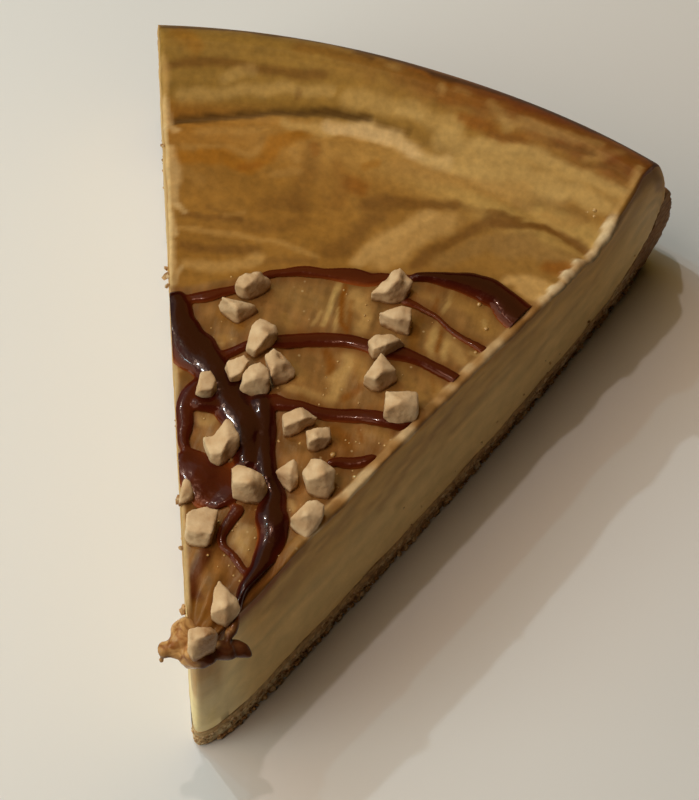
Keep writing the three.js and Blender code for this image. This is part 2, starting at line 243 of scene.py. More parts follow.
# Crumbs stand out of the right cut and the point, under a smeared top, and the left cut is only
# dented; the tin has pressed the outer wall nearly smooth
right_cut = np.array([math.cos(HALF_ANGLE), -math.sin(HALF_ANGLE), 0])
left_cut = np.array([-math.cos(HALF_ANGLE), -math.sin(HALF_ANGLE), 0])
outward = (side > 0.999)[:, None] * right_cut + (side < -0.999)[:, None] * left_cut
turn = side * HALF_ANGLE
wall = (cell[:, 2] < 0.001) * smooth(112, 117, radius)
wall_normal = np.stack([np.sin(turn), np.cos(turn), 0 * turn], axis=-1)
outward = outward + (WALL_RELIEF * wall)[:, None] * wall_normal
near_cut = np.maximum(smooth(0.9985, 1, np.abs(side)), wall)
grains = np.array([noise.voronoi(Vector(p) / CRUMB_LUMP)[0][0] for p in points])
relief = CRUMB_RELIEF * (0.5 - grains) + 0.1 * noise_at(points, 0.8, 3) + 0.2 * noise_at(points, 4, 5)
smeared = smooth(2.6, 3.8, height + 1.2 * noise_at(points, 3, 9))
smeared = smeared * (1 - wall) * (1 - smooth(100, 108, radius))
relief = np.where(side < 0, np.minimum(0.6 * relief - 0.15, 0), relief * (1 - 0.8 * smeared))
points = points + outward * (near_cut * relief)[:, None]

# The top edge of the crumb on the wall is ragged
lip = smooth(23.5, CRUST_LIP_HEIGHT, height)
points[:, 2] += lip * (0.7 * noise_at(points, 2.6, 65) + 0.4 * noise_at(points, 1.1, 66))
points[:, 2] = np.maximum(points[:, 2], 0)

pressed_crumb = finished("pressed_crumb", base_block, points)
# pit_shade: how far a point is sunk between the crumb's lumps, used for painted shade there
store(pressed_crumb, "pit_shade", np.clip(grains * 1.2, 0, 1) * (1 - 0.8 * wall) * (1 - smeared))
store(pressed_crumb, "smeared", smeared)
store(pressed_crumb, "baked", np.clip(smooth(104, 112, radius) + 0.35 * noise_at(points, 6, 7), 0, 1))
store(pressed_crumb, "sandy", 1 - smooth(8, 34, radius))

crumb_material, tree, surface = new_material("baked_biscuit_crumb")
# Crushed biscuit browned in butter: each grain has its own brown, with painted shade in the hollows between
# grains and towards each grain's edge.
# The real grit is finer than a pixel, so it is drawn half a millimetre wide.
GRAIN_WIDTH = 0.9 * MM
GRAIN_RAGGED = 0.6 * MM     # how far a grain's outline wanders,
RAGGED_EVERY = 0.8 * MM     # and within what length
GRIT_WIDTH = 0.5 * MM
laid = {name: add(tree, "Attribute", attribute_name=name).outputs["Fac"]
        for name in ("pit_shade", "smeared", "baked", "sandy")}
place = add(tree, "TexCoord").outputs["Object"]
shaken = add(tree, "TexNoise", {"Vector": place, "Scale": 1 / RAGGED_EVERY, "Detail": 2}).outputs["Color"]
shaken = add(tree, "VectorMath", {0: shaken, 1: (GRAIN_RAGGED,) * 3}, operation="MULTIPLY").outputs[0]
shaken = add(tree, "VectorMath", {0: place, 1: shaken}, operation="ADD").outputs[0]
grain = add(tree, "TexVoronoi", {"Vector": shaken, "Scale": 1 / GRAIN_WIDTH})
grain_tone = add(tree, "SeparateColor", {"Color": grain.outputs["Color"]}).outputs["Red"]
browns = add(tree, "ValToRGB", {"Fac": grain_tone})
ramp = browns.color_ramp
ramp.elements[0].color = colour("#a87c4e")
ramp.elements[1].color = colour("#ebd0a4")
ramp.elements.new(0.45).color = colour("#c9a06e")
ramp.elements.new(0.8).color = colour("#dcb986")
crumb = tinted(tree, browns.outputs["Color"], laid["baked"], "#7e5029", 0.85)
crumb = tinted(tree, crumb, laid["sandy"], "#ebd3a2", 0.95, grain_tone)
# Painted shade: the hollows between the lumps are darkened
gap = add(tree, "MapRange", {"Value": laid["pit_shade"], "From Min": 0.4, "From Max": 0.85}).outputs["Result"]
crumb = tinted(tree, crumb, gap, "#a87a4c", 0.4)
crumb = tinted(tree, crumb, laid["smeared"], "#c09660", 0.85, grain_tone)
# Painted shade: each grain darkens towards its edge; the same value gives the grain its relief
between = add(tree, "MapRange", {"Value": grain.outputs["Distance"], "From Min": 0.3, "From Max": 0.75,
                                 "To Min": 1.08, "To Max": 0.74}).outputs[0]
crumb = add(tree, "VectorMath", {0: crumb, 1: between}, operation="MULTIPLY").outputs[0]
tree.links.new(crumb, surface.inputs["Base Color"])
grit = add(tree, "TexNoise", {"Vector": place, "Scale": 1 / GRIT_WIDTH, "Detail": 4})
grain_relief = add(tree, "Bump", {"Height": between, "Strength": 0.5, "Distance": 0.25 * MM})
bump = add(tree, "Bump", {"Height": grit.outputs["Fac"], "Strength": 0.25, "Distance": 0.15 * MM,
                          "Normal": grain_relief.outputs[0]})
tree.links.new(bump.outputs["Normal"], surface.inputs["Normal"])
surface.inputs["Roughness"].default_value = 0.85
surface.inputs["Specular IOR Level"].default_value = 0.2
pressed_crumb.data.materials.append(crumb_material)

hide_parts("crumb_base")
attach(pressed_crumb, "root")

# Cream body
# Baked cream cheese filling: a satin golden skin with caramel swirls baked into it, a browned
# rim, and pale cream where the knife went through. The block follows the solid's own top.
RIM_HEIGHT = 40
RIM_RISE = 1.3              # how much higher the rim is at its right end
CROWN_RADIUS = 105.7
SHOULDER_RADIUS = 6
WALL_FOOT = np.array([113.6, 28.2])
DISH_DEPTH, DISH_RADIUS, DISH_WIDTH = 2.4, 84, 20
CREASE_DEPTH, CREASE_RADIUS = 1.1, 95
SECOND_DEPTH, SECOND_RADIUS = 0.45, 102
CREASE_WIDTH = 1.7
LAYER_GAP = 0.05            # between the cream and the crumb
CREAM_CELLS = (150, 260, 20)
LAYER_CROWDING = 1.8        # the layers are finest just under the skin
RIM_WEAR = 1.3
STRIP_HEIGHT = 0.42
FLAKE_HEIGHT = 0.45


def ripple(x, y):
    return 0.5 * (np.sin(0.31 * x + 0.17 * y) + np.sin(0.23 * y - 0.41 * x + 2))


def rim_height(side):
    return RIM_HEIGHT + RIM_RISE * smooth(0, 1, side)


def top_height(radius, side):
    dish = DISH_DEPTH * (0.75 + 0.25 * side) * bell(radius - DISH_RADIUS, DISH_WIDTH)
    wander = 1.6 * np.cos(2.2 * side + 0.4)
    filled = 0.55 * bell(side - 0.2, 0.35)      # the crease is shallower right of the middle
    crease = CREASE_DEPTH * (1 - filled) * bell(radius - CREASE_RADIUS - wander, CREASE_WIDTH)
    second = SECOND_DEPTH * (1 - smooth(-0.4, 0.6, side)) * bell(radius - SECOND_RADIUS, CREASE_WIDTH)
    rim_share = smooth(94, CROWN_RADIUS, radius)
    rim = (rim_height(side) - TOP_HEIGHT) * rim_share
    waves = 0.3 * (1 - rim_share) * ripple(radius, 40 * side)
    return TOP_HEIGHT - dish - crease - second + rim + waves


def top_path(share, side):
    """Radius and height of the skin, from the point to the crumb's lip at the wall."""
    crown_reach = CROWN_RADIUS - TIP_RADIUS
    shoulder_reach = SHOULDER_RADIUS * math.pi / 2
    wall_reach = RIM_HEIGHT - SHOULDER_RADIUS - WALL_FOOT[1]
    travelled = share * (crown_reach + shoulder_reach + wall_reach)
    roll = np.clip((travelled - crown_reach) / SHOULDER_RADIUS, 0, math.pi / 2)
    down = np.clip((travelled - crown_reach - shoulder_reach) / wall_reach, 0, 1)
    on_top = np.minimum(TIP_RADIUS + travelled, CROWN_RADIUS)
    wall_top = CROWN_RADIUS + SHOULDER_RADIUS
    radius = on_top + SHOULDER_RADIUS * np.sin(roll) + down * (WALL_FOOT[0] - wall_top)
    rolled = rim_height(side) - SHOULDER_RADIUS * (1 - np.cos(roll))
    height = np.where(roll > 0, rolled, top_height(on_top, side))
    height = height + down * (WALL_FOOT[1] - height)
    return radius, height


def distance_to(points, route):
    """Distance of each point from a route of straight stretches, both in plan."""
    best = np.full(len(points), 1e9)
    for a, b in zip(np.array(route[:-1], float), np.array(route[1:], float)):
        share = np.clip(((points - a) @ (b - a)) / ((b - a) @ (b - a)), 0, 1)
        best = np.minimum(best, np.hypot(*(points - a - share[:, None] * (b - a)).T))
    return best


cream_block = unit_block(*CREAM_CELLS)
cell = places_of(cream_block)
cell[:, 2] = 1 - (1 - cell[:, 2]) ** LAYER_CROWDING
side = 2 * cell[:, 0] - 1

# The underside follows the crumb's inner line, moved off it by the gap
low_radius, low_height = along_path(crust_inside, cell[:, 1])
next_radius, next_height = along_path(crust_inside, np.clip(cell[:, 1] + 0.002, 0, 1))
last_radius, last_height = along_path(crust_inside, np.clip(cell[:, 1] - 0.002, 0, 1))
run, rise = next_radius - last_radius, next_height - last_height
low_radius = low_radius - LAYER_GAP * rise / np.hypot(run, rise)
low_height = low_height + LAYER_GAP * run / np.hypot(run, rise)
high_radius, high_height = top_path(cell[:, 1], side)
radius = low_radius + (high_radius - low_radius) * cell[:, 2]
height = low_height + (high_height - low_height) * cell[:, 2]
points = on_wedge(radius, side, height)
plan = points[:, :2].copy()
depth = high_height - height
skin = cell[:, 2] > 0.999
on_top = skin & (high_radius < CROWN_RADIUS)
on_cut = np.abs(side) > 0.999
from_cut = np.maximum(1 - np.abs(side), 0) * high_radius * HALF_ANGLE

# The knife leaves a slightly rounded, uneven top edge and faint drag marks down the cuts
edge_roll = 0.5 + 0.35 * noise_at(np.stack([high_radius, 9 * side, 0 * side], -1), 5, 11)
sunk = np.clip(edge_roll - from_cut, 0, None) ** 2 / np.maximum(edge_roll, 0.05)
points[:, 2] -= sunk * bell(depth, 2) * (cell[:, 1] < 0.9)
cut_normal = np.where((side > 0)[:, None], right_cut, left_cut)
drag = np.stack([radius / 9, 6 * side, depth / 2.2], axis=-1)
streaks = noise_at(drag, 1, 13)
cut_relief = 0.14 * streaks + 0.06 * noise_at(points, 0.9, 17) + 0.1 * noise_at(points, 3.5, 19)
cut_relief = cut_relief - 0.25 * bell(depth, 0.5) * (0.5 + 0.5 * noise_at(points, 2.2, 21))
points += cut_normal * (on_cut * cut_relief * smooth(2, 8, radius))[:, None]
flat = points * [1, 1, 0]
wrinkles = 0.06 * noise_at(flat, 1.6, 23) + 0.12 * noise_at(flat, 6, 29)
points[:, 2] += on_top * wrinkles * smooth(0.3, 2, from_cut)

# Fine creases that the skin drew at the rim's foot as the cake sank: depth, half width, route
SKIN_CREASES = [
    (0.5, 0.6, [(-35, 88), (-31.5, 89.8), (-25.5, 92), (-20.5, 94.2), (-16, 95.4), (-9.5, 96.8),
                (-5, 97.3)]),
    (0.15, 0.7, [(-5, 97.3), (2, 97)]),
    (0.14, 0.8, [(2, 97), (4, 96.6), (9, 96), (14, 95.8), (19.5, 95)]),
    (0.15, 0.7, [(14.5, 99.8), (19.5, 99.6), (22, 98.8), (25.5, 98.2), (31, 98)]),
    (0.3, 0.45, [(25, 100.2), (28, 100), (31.2, 100.2)]),
    (0.3, 0.45, [(31.8, 98.4), (35, 98.6), (38, 97.2)]),
    (0.3, 0.4, [(36.2, 96.4), (39.2, 95.4)]),
]
for fold_depth, width, route in SKIN_CREASES:
    points[:, 2] -= on_top * fold_depth * bell(distance_to(plan, route), width)

# The rim's end is worn round where the knife left it
past_crown = 0.25 * np.maximum(high_radius - 104, 0)
worn = smooth(0.96, 1, side) * smooth(97, 110, high_radius) * smooth(7, 0, depth + past_crown)
points -= (right_cut + [0, 0, 0.5]) * (RIM_WEAR * worn)[:, None]

# The cut drags up a raised strip of skin on the right, and tears a ragged pale flake off the rim
edge_strip = smooth(2.1, 1.4, from_cut + 0.35 * noise_at(flat, 3, 31)) * (side > 0)
edge_strip = edge_strip * on_top * smooth(20, 28, radius) * (1 - smooth(80, 84, radius))
points[:, 2] += edge_strip * (STRIP_HEIGHT + 0.2 * noise_at(flat, 2, 33))
jag = 0.7 * noise_at(flat, 2.2, 37) + 0.5 * noise_at(flat, 0.9, 38)
torn = smooth(1.7 + 0.9 * jag, 0.9 + 0.7 * jag, from_cut) * (side > 0) * on_top
torn = torn * smooth(80.5, 83, radius) * (1 - smooth(98, 100.5, radius))
points[:, 2] += torn * (FLAKE_HEIGHT + 0.35 * jag)
fringe = torn * (from_cut < 0.3)
points[:, :2] += right_cut[:2] * (fringe * (0.5 + 0.8 * jag))[:, None]

baked_cream = finished("baked_cream", cream_block, points)


def tone(code):
    return np.array(colour(code)[:3])


# The colours of the skin are laid on as a baker's brush would: ground tones by zone first, then strokes of
# one tone each, with their half width, strength, and route from the cake's centre. Some of the strokes are
# painted shade, in the skin's creases.
TONES = {name: tone(code) for name, code in {
    "char": "#5a381a", "umber": "#775024", "toast": "#835724", "rust": "#8a5318", "amber": "#98641f",
    "honey": "#a67c46", "straw": "#b9945e", "butter": "#b78f5a", "light": "#c8a476", "rose": "#946f40",
    "cream": "#c9a678", "shade": "#5f4220", "red": "#5a2410", "ivory": "#dfc795", "russet": "#8a4018",
}.items()}
STROKES = [
    # rim
    ("amber", 2.0, 0.45, [(-38, 100.5), (-35, 99)]),
    ("toast", 1.5, 0.5, [(-19, 104.5), (-12.5, 105), (-6, 105.5), (1, 104.5)]),
    ("toast", 1.7, 0.6, [(3, 104), (10, 103.5), (18.5, 102.5), (26.5, 102.5), (35, 102), (38.5, 100)]),
    # Painted shade: this umber stroke draws the shade of the second crease, along the rim's left
    ("umber", 0.7, 0.7, [(-38.5, 94.5), (-36, 96), (-32, 97.5), (-27, 98.5), (-20.5, 99.5), (-16, 100.5),
                         (-13.5, 101)]),
    ("straw", 1.0, 0.4, [(-29, 96), (-26.5, 97.5), (-25, 98.5)]),
    ("straw", 1.0, 0.45, [(-34.5, 91.5), (-27, 94.5), (-18.5, 98), (-12, 99)]),
    ("umber", 0.5, 0.5, [(-17, 98), (-17, 97)]),
    ("straw", 1.5, 0.5, [(-8.5, 99), (-0.5, 100), (4.5, 99.5), (9, 99)]),
    ("straw", 0.5, 0.6, [(-1, 99.5), (3, 99.5)]),
    ("straw", 0.9, 0.3, [(-4.2, 105.6), (-3.2, 105.6)]),
    ("straw", 0.8, 0.4, [(4.5, 105.5), (5, 103.5)]),
    ("straw", 0.8, 0.2, [(7.6, 105), (9.4, 104.8)]),
    ("straw", 1.0, 0.25, [(13, 104), (15, 102.5), (17, 101)]),
    ("straw", 1.0, 0.35, [(16, 102), (22, 102), (27.5, 101.5), (31.5, 101.5)]),
    ("straw", 1.0, 0.25, [(30.5, 99.5), (33, 100), (35, 101)]),
    ("rust", 0.8, 0.5, [(-1, 106.5), (4, 106), (6, 105.5)]),
    ("rust", 1.0, 0.45, [(5, 103), (11, 103.5)]),
    ("rust", 1.0, 0.7, [(9, 100.5), (12.5, 100.5), (16, 99.5), (19.5, 99.5)]),
    ("rust", 1.0, 0.7, [(31, 104), (35.5, 103.5), (39, 102.5), (41, 101)]),
    # Painted shade: these four umber strokes follow the fine creases at the right of the rim and draw their
    # shade
    ("umber", 0.7, 0.5, [(14.5, 99.5), (19.5, 99.5), (22, 98.5), (25.5, 98), (31, 98)]),
    ("umber", 0.5, 0.8, [(25, 100), (28, 100), (31, 100)]),
    ("umber", 0.5, 0.7, [(32, 98.5), (35, 98.5), (38, 97)]),
    ("umber", 0.4, 0.8, [(36, 96.5), (39, 95.5)]),
    ("char", 0.5, 0.7, [(-41.5, 101), (-38.5, 102), (-34, 103.5), (-29, 105), (-24.5, 105.5), (-19.5, 107),
                        (-13.5, 108)]),
    ("char", 0.7, 0.8, [(-12.5, 108), (-7, 108), (0, 107.5), (7, 107), (13.5, 107), (20.5, 106.5)]),
    ("char", 0.8, 0.9, [(18.5, 107), (24, 106), (29, 105), (36, 104), (39, 103), (41, 101.5)]),
    ("char", 0.8, 0.5, [(-10, 107), (-7.5, 106.5)]),
    ("char", 1.0, 0.7, [(2.5, 107), (6, 106.5)]),
    # at the rim's foot
    ("straw", 1.0, 0.7, [(13, 98), (16.5, 98), (23, 98), (28.5, 97), (33.5, 96.5), (37, 95.5)]),
    ("straw", 1.5, 0.7, [(7, 97.5), (13, 96.5), (19, 96), (25, 95.5), (31, 94.5), (35.5, 93.5)]),
    ("butter", 0.7, 0.6, [(38.5, 99.5), (38.5, 96), (37.5, 94), (37, 91.5), (36.5, 90)]),
    # Painted shade: the shade strokes draw the dark line in the crease at the rim's foot
    ("shade", 0.7, 0.6, [(-35, 88), (-33, 89), (-31, 89.5), (-28.5, 90.5)]),
    ("shade", 0.55, 0.85, [(-34.5, 88), (-31.5, 90), (-25.5, 92), (-20.5, 94), (-15.5, 95.5), (-9.5, 97),
                           (-5, 97.4)]),
    ("shade", 0.5, 0.35, [(-5, 97.4), (2, 97)]),
    ("shade", 0.8, 0.15, [(2, 97), (4, 96.5), (9, 96)]),
    ("umber", 0.4, 0.5, [(36, 92), (37, 92)]),
    ("straw", 1.2, 0.6, [(-17.5, 93), (-13.5, 93.5), (-10.5, 94)]),
    ("light", 1.2, 0.75, [(-10.5, 95), (-7.5, 95.5), (-4, 96), (-1, 96), (2, 95), (5.5, 94), (9, 94.5)]),
    ("light", 0.7, 0.4, [(-8.5, 95.5), (-5, 96), (-1.5, 96)]),
    ("straw", 1.3, 0.7, [(5.5, 94), (13, 94.5), (18, 94), (23, 93.5), (28, 93.5)]),
    ("honey", 1.7, 0.6, [(2, 92), (8.5, 92), (13.5, 92.5), (22, 93)]),
    ("honey", 1.0, 0.5, [(-30, 87.5), (-24.5, 89), (-20.5, 91)]),
    ("honey", 0.7, 0.5, [(-31, 83.5), (-25, 85.5), (-21, 86), (-19.5, 88)]),
    # swirls
    ("amber", 1.3, 0.85, [(-31.5, 81.5), (-28, 83), (-25, 84), (-20, 83.5), (-18.5, 86), (-18, 89),
                          (-14.5, 91.5)]),
    ("rust", 0.8, 0.4, [(-21.5, 83), (-19, 84.5)]),
    ("umber", 1.7, 0.4, [(-12, 90), (-11, 88), (-11.5, 85), (-11, 81.5), (-10.5, 79)]),
    ("rust", 0.8, 0.4, [(-12, 90.5), (-11, 89.5)]),
    ("honey", 0.8, 0.5, [(-15, 88.5), (-13.5, 87.5)]),
    ("honey", 1.0, 0.5, [(-16, 83.5), (-14, 85), (-13, 85.5)]),
    ("honey", 1.3, 0.3, [(-30, 79), (-26.5, 78.5)]),
    ("umber", 0.7, 0.7, [(-27, 71.5), (-23.5, 72), (-20.5, 73), (-18.5, 73.5)]),
    ("umber", 0.5, 0.4, [(-24, 74), (-21, 74)]),
    ("umber", 1.2, 0.4, [(-17.5, 73), (-13.5, 74), (-9.5, 76.5)]),
    ("umber", 1.3, 0.4, [(-16, 77.5), (-12, 80), (-10.5, 79.5)]),
    ("honey", 0.6, 0.75, [(-26.5, 69), (-23.5, 69.5), (-20.5, 70), (-17.5, 71), (-10.5, 71.5), (-5, 71)]),
    ("honey", 0.4, 0.4, [(-21, 73.5), (-18, 75)]),
    ("umber", 1.0, 0.7, [(-25, 66), (-22.5, 66.5), (-18, 68), (-14, 69)]),
    ("butter", 1.2, 0.5, [(-23.5, 63), (-19, 64), (-15, 66), (-13.5, 67.5)]),
    ("umber", 0.7, 0.4, [(-12, 67.5), (-8.5, 69), (-5, 70)]),
    ("rust", 1.5, 0.6, [(-4, 86), (-2, 85.5)]),
    ("amber", 0.8, 0.5, [(-3, 89.5), (-1.5, 91)]),
    ("toast", 1.3, 0.4, [(-7, 88.5), (-5, 85.5), (-5.5, 81.5)]),
    ("umber", 1.7, 0.6, [(-3, 72.5), (-1.5, 75), (0, 79), (3, 83.5)]),
    ("umber", 1.2, 0.75, [(-0.5, 83), (2, 85), (5, 85.5), (9, 86.5), (12.5, 87.5)]),
    ("umber", 1.0, 0.35, [(12.5, 87.5), (16.5, 88), (20, 88.5)]),
    ("butter", 1.5, 0.8, [(1.5, 73), (3.5, 76.5), (5.5, 79.5), (7.5, 83), (9.5, 84.5)]),
    ("butter", 2.0, 0.65, [(5, 74), (7.5, 78), (10, 82), (12.5, 84.5)]),
    ("umber", 1.2, 0.8, [(10, 75), (12, 78.5), (14.5, 82), (17, 85), (19.5, 87.5), (22.5, 88.5)]),
    ("rose", 1.5, 0.7, [(13.5, 77), (17, 81), (21, 84), (25.5, 85.5)]),
    ("umber", 0.7, 0.6, [(18, 88.5), (20.5, 89), (22, 88)]),
    ("umber", 0.9, 0.45, [(24, 92.5), (28.5, 92.5), (33, 91.5)]),
    ("rose", 0.8, 0.6, [(21.5, 91.5), (24, 91.5)]),
    ("honey", 0.8, 0.5, [(26.5, 91), (29, 90.5), (32, 91)]),
    ("umber", 0.9, 0.9, [(19.5, 86.5), (23.5, 87.5), (27, 88.5), (30.5, 88.5), (33.5, 87.5), (35, 87)]),
    ("rose", 1.7, 0.8, [(21.5, 83), (26, 84), (30, 84.5), (33.5, 84.5)]),
    ("rust", 1.6, 0.7, [(30, 82), (32, 82.5), (33.5, 81.5)]),
    ("butter", 1.2, 0.9, [(24.5, 77.5), (27.5, 78.5), (30.5, 78), (32, 78)]),
    ("butter", 1.3, 0.9, [(27.5, 76.5), (30.5, 76)]),
    # left edge, where the knife smeared the cream up
    ("butter", 0.8, 0.6, [(-39, 95.5), (-37.5, 92), (-36.5, 89)]),
    ("cream", 0.7, 0.7, [(-37, 90), (-36, 88.5), (-35.5, 87.5)]),
    ("cream", 0.8, 0.5, [(-35.5, 87), (-33.5, 86)]),
    ("cream", 1.0, 0.5, [(-33, 82), (-30.5, 77), (-29, 73)]),
    ("cream", 0.5, 0.4, [(-28.5, 73), (-27, 72)]),
    ("cream", 0.8, 0.6, [(-29, 71), (-27, 67.5)]),
    ("cream", 0.7, 0.5, [(-27, 66), (-26, 63.5), (-25, 61)]),
    ("cream", 0.5, 0.4, [(-24, 62), (-24, 59)]),
    # under the clear caramel, between the outer and the second arc
    ("rose", 2.0, 0.6, [(-8, 63), (-4.5, 62.5), (-1.5, 63)]),
    ("straw", 0.5, 0.9, [(0, 59.5), (0, 63), (0, 68)]),
    ("straw", 0.4, 0.7, [(2, 59), (1.5, 63)]),
    ("straw", 0.4, 0.5, [(-1.5, 59), (-1, 61.5)]),
    ("rust", 0.5, 0.9, [(1, 67.5), (1.5, 65), (2.5, 61), (4, 59.5)]),
    ("rust", 0.4, 0.6, [(3, 65), (4, 60)]),
    ("butter", 1.3, 0.8, [(3.5, 66), (6, 63), (6, 60.5)]),
    ("honey", 0.8, 0.5, [(-6, 59), (-4.5, 57.5)]),
    ("amber", 1.2, 0.5, [(-15, 56.5), (-12, 55)]),
    ("honey", 0.7, 0.7, [(-14.5, 52), (-12, 52)]),
    ("straw", 0.4, 0.6, [(-14.5, 51), (-13.5, 51)]),
    ("honey", 0.8, 0.5, [(11.5, 70), (14, 70)]),
    ("straw", 0.5, 0.8, [(17, 72.5), (17, 70), (16.5, 68)]),
    ("rust", 0.5, 0.6, [(15, 70), (15, 68)]),
    ("honey", 1.8, 0.85, [(18.5, 71.5), (21.5, 70), (24.5, 68)]),
    ("rose", 0.5, 0.6, [(20.5, 72.5), (23, 72.5), (24.5, 71.5)]),
    ("straw", 0.4, 0.8, [(23, 69), (23.5, 68)]),
    ("toast", 1.2, 0.8, [(13.5, 66), (14, 62), (14.5, 59.5)]),
    ("straw", 0.7, 0.9, [(16.5, 66), (16.5, 63.5), (17, 61), (17.5, 59.5)]),
    ("rust", 0.3, 0.7, [(17.5, 65), (18, 61)]),
    ("straw", 0.7, 0.8, [(19, 65), (19, 62.5), (19.5, 60)]),
    ("butter", 1.0, 0.7, [(20, 63.5), (22, 60.5)]),
    ("straw", 0.5, 0.8, [(23, 62.5), (24, 62.5)]),
    # between the second and the third arc
    ("honey", 1.3, 0.5, [(-2, 51), (0, 49.5)]),
    ("rust", 0.8, 0.8, [(2, 55), (3.5, 53), (4, 51.5)]),
    ("butter", 1.2, 0.9, [(5.5, 55.5), (6, 53), (5, 50), (5, 47.5)]),
    ("honey", 1.0, 0.6, [(7.5, 55.5), (9, 52)]),
    ("rust", 0.8, 0.7, [(7, 48.5), (9, 51)]),
    ("butter", 0.8, 0.6, [(-2, 47), (2, 47), (5.5, 46.5)]),
    ("honey", 1.2, 0.6, [(14, 57), (15.5, 54.5), (17.5, 52.5)]),
    ("honey", 1.3, 0.7, [(17.5, 56.5), (20, 54)]),
    ("rust", 0.3, 0.4, [(18.5, 56.5), (19.5, 54)]),
    # in front of the third arc
    ("rust", 1.3, 0.5, [(7, 42), (9.5, 41.5)]),
    ("honey", 1.0, 0.5, [(12.5, 44), (15, 44)]),
    ("rust", 0.4, 0.6, [(11, 44), (12, 42)]),
    ("umber", 1.2, 0.8, [(-1.5, 41), (0, 38), (2, 37)]),
    ("umber", 1.0, 0.6, [(2, 38), (4, 37.5)]),
    ("rust", 1.3, 0.5, [(7.5, 42.5), (9, 41), (10.5, 39.5)]),
    ("butter", 0.7, 0.9, [(5, 29), (6, 28)]),
    ("butter", 1.3, 0.9, [(-1, 24.5), (-1, 22), (0.5, 19.5), (2.5, 18.5)]),
    ("butter", 1.0, 0.7, [(1, 22.5), (2.5, 20)]),
    # left edge under the clear caramel
    ("butter", 1.5, 0.9, [(-12.5, 38), (-10.5, 39)]),
    ("amber", 1.0, 0.9, [(-12.5, 35.5), (-12.5, 34)]),
    ("red", 1.3, 0.8, [(-15, 38.5), (-13.5, 36)]),
    ("umber", 1.5, 0.75, [(-18, 46.5), (-16.5, 43.5), (-15.5, 41.5)]),
    ("butter", 0.5, 0.5, [(-18.9, 46), (-18.2, 44.5)]),
    ("red", 1.0, 0.8, [(-4, 17), (-4, 14), (-4, 11), (-2.5, 9)]),
    ("butter", 0.8, 0.8, [(-6, 13), (-4.5, 10), (-4, 8)]),
    ("toast", 1.3, 0.8, [(-2.5, 8.5), (-1, 7)]),
    ("umber", 0.8, 0.5, [(-1.5, 13), (-2, 11)]),
    ("straw", 0.4, 0.8, [(3, 12.5), (3.5, 12)]),
    ("umber", 1.6, 0.35, [(-17, 53), (-14, 56)]),
    ("rose", 1.0, 0.6, [(6.5, 23), (8, 21.5), (9.5, 22.5)]),
]
# On the right cut, the route is radius and depth under the skin: skin colour that the knife
# dragged down in long streaks, and caramel that ran down near the point
CUT_STROKES = [
    ("honey", 1.2, 0.5, [(84, 3), (100, 2)]),
    ("honey", 0.8, 0.5, [(52, 4), (44, 7), (38, 10)]),
    ("honey", 1.4, 0.6, [(60, 4), (50, 8), (42, 13)]),
    ("honey", 1.0, 0.5, [(70, 8), (56, 14), (46, 18)]),
    ("toast", 0.7, 0.3, [(66, 2), (60, 5), (54, 7)]),
    ("honey", 1.0, 0.45, [(38, 3), (26, 7), (18, 9)]),
    ("toast", 0.8, 0.25, [(30, 3), (22, 5)]),
    ("honey", 1.6, 0.4, [(96, 10), (80, 16)]),
    ("toast", 2.0, 0.7, [(98, 0), (104, 0.6), (109, 2.5), (111, 7)]),
    ("rust", 2.2, 0.6, [(24, 0.4), (12, 1.2), (6, 2.4)]),
    ("russet", 1.2, 0.6, [(20, 0.3), (12, 0.8), (6, 1.6)]),
    ("honey", 2.0, 0.6, [(1, 5), (3, 6), (6, 4)]),
    ("ivory", 3.0, 0.5, [(1, 14), (4, 22), (8, 30)]),
]
WIDEST_SHAKE = 1.3          # a stroke's route is shaken in step with its width, up to this
GLAZE_EDGE = [(-26, 58), (-22, 58.6), (-15.5, 62.6), (-10, 66), (1, 70.6), (16, 74.4), (29, 75)]


def laid_on(base, share, over):
    return base + share[:, None] * (over - base)


def brushed(ground, spots, strokes, warp):
    for name, width, strength, route in strokes:
        near = distance_to(spots + min(width, WIDEST_SHAKE) * warp, route)
        ground = laid_on(ground, strength * (1 - smooth(0.3 * width, 1.4 * width, near)), TONES[name])
    return ground


def zones(value, stops):
    """Linear colours of the hex stops at each value."""
    at = [stop[0] for stop in stops]
    mixed = [np.interp(value, at, [colour(stop[1])[c] for stop in stops]) for c in range(3)]
    return np.stack(mixed, axis=-1)


# Ground tones: the field, the paler band at the rim's foot, the rim, its browned crown and wall,
# and the clear caramel over the front, which lies in combed streaks
edge_side = np.array([math.atan2(x, y) / HALF_ANGLE for x, y in GLAZE_EDGE])
edge_radius = np.array([math.hypot(x, y) for x, y in GLAZE_EDGE])
glaze = smooth(0.6, -0.6, radius - np.interp(side, edge_side, edge_radius)) * skin
glaze = glaze * (1 - edge_strip)
field_tone = zones(side, [(-1, "#90652d"), (0, "#966b33"), (1, "#936c38")])
band_tone = zones(side, [(-1, "#9a6a2f"), (0, "#a67d45"), (0.5, "#a9854e"), (1, "#ab864f")])
rim_tone = zones(side, [(-1, "#8d6a34"), (-0.2, "#987239"), (1, "#946a34")])
clear_tone = zones(radius, [(0, "#8c5c2c"), (15, "#956636"), (40, "#986c3e"), (70, "#9c7345")])
browned = smooth(101.5, 107.5, high_radius + 1.8 * noise_at(flat, 2.5, 35)) * smooth(-0.5, 0.5, side)
ground = laid_on(field_tone, smooth(87, 92, radius), band_tone)
ground = laid_on(ground, smooth(96, 98.5, radius), rim_tone)
ground = laid_on(ground, smooth(109, 112, high_radius), tone("#6e4a22"))
ground = laid_on(ground, 0.9 * browned, tone("#773f1c"))
ground = laid_on(ground, glaze, clear_tone)
cloudy = 1 + 0.09 * noise_at(flat, 5, 39) + 0.08 * noise_at(flat, 1.7, 40)
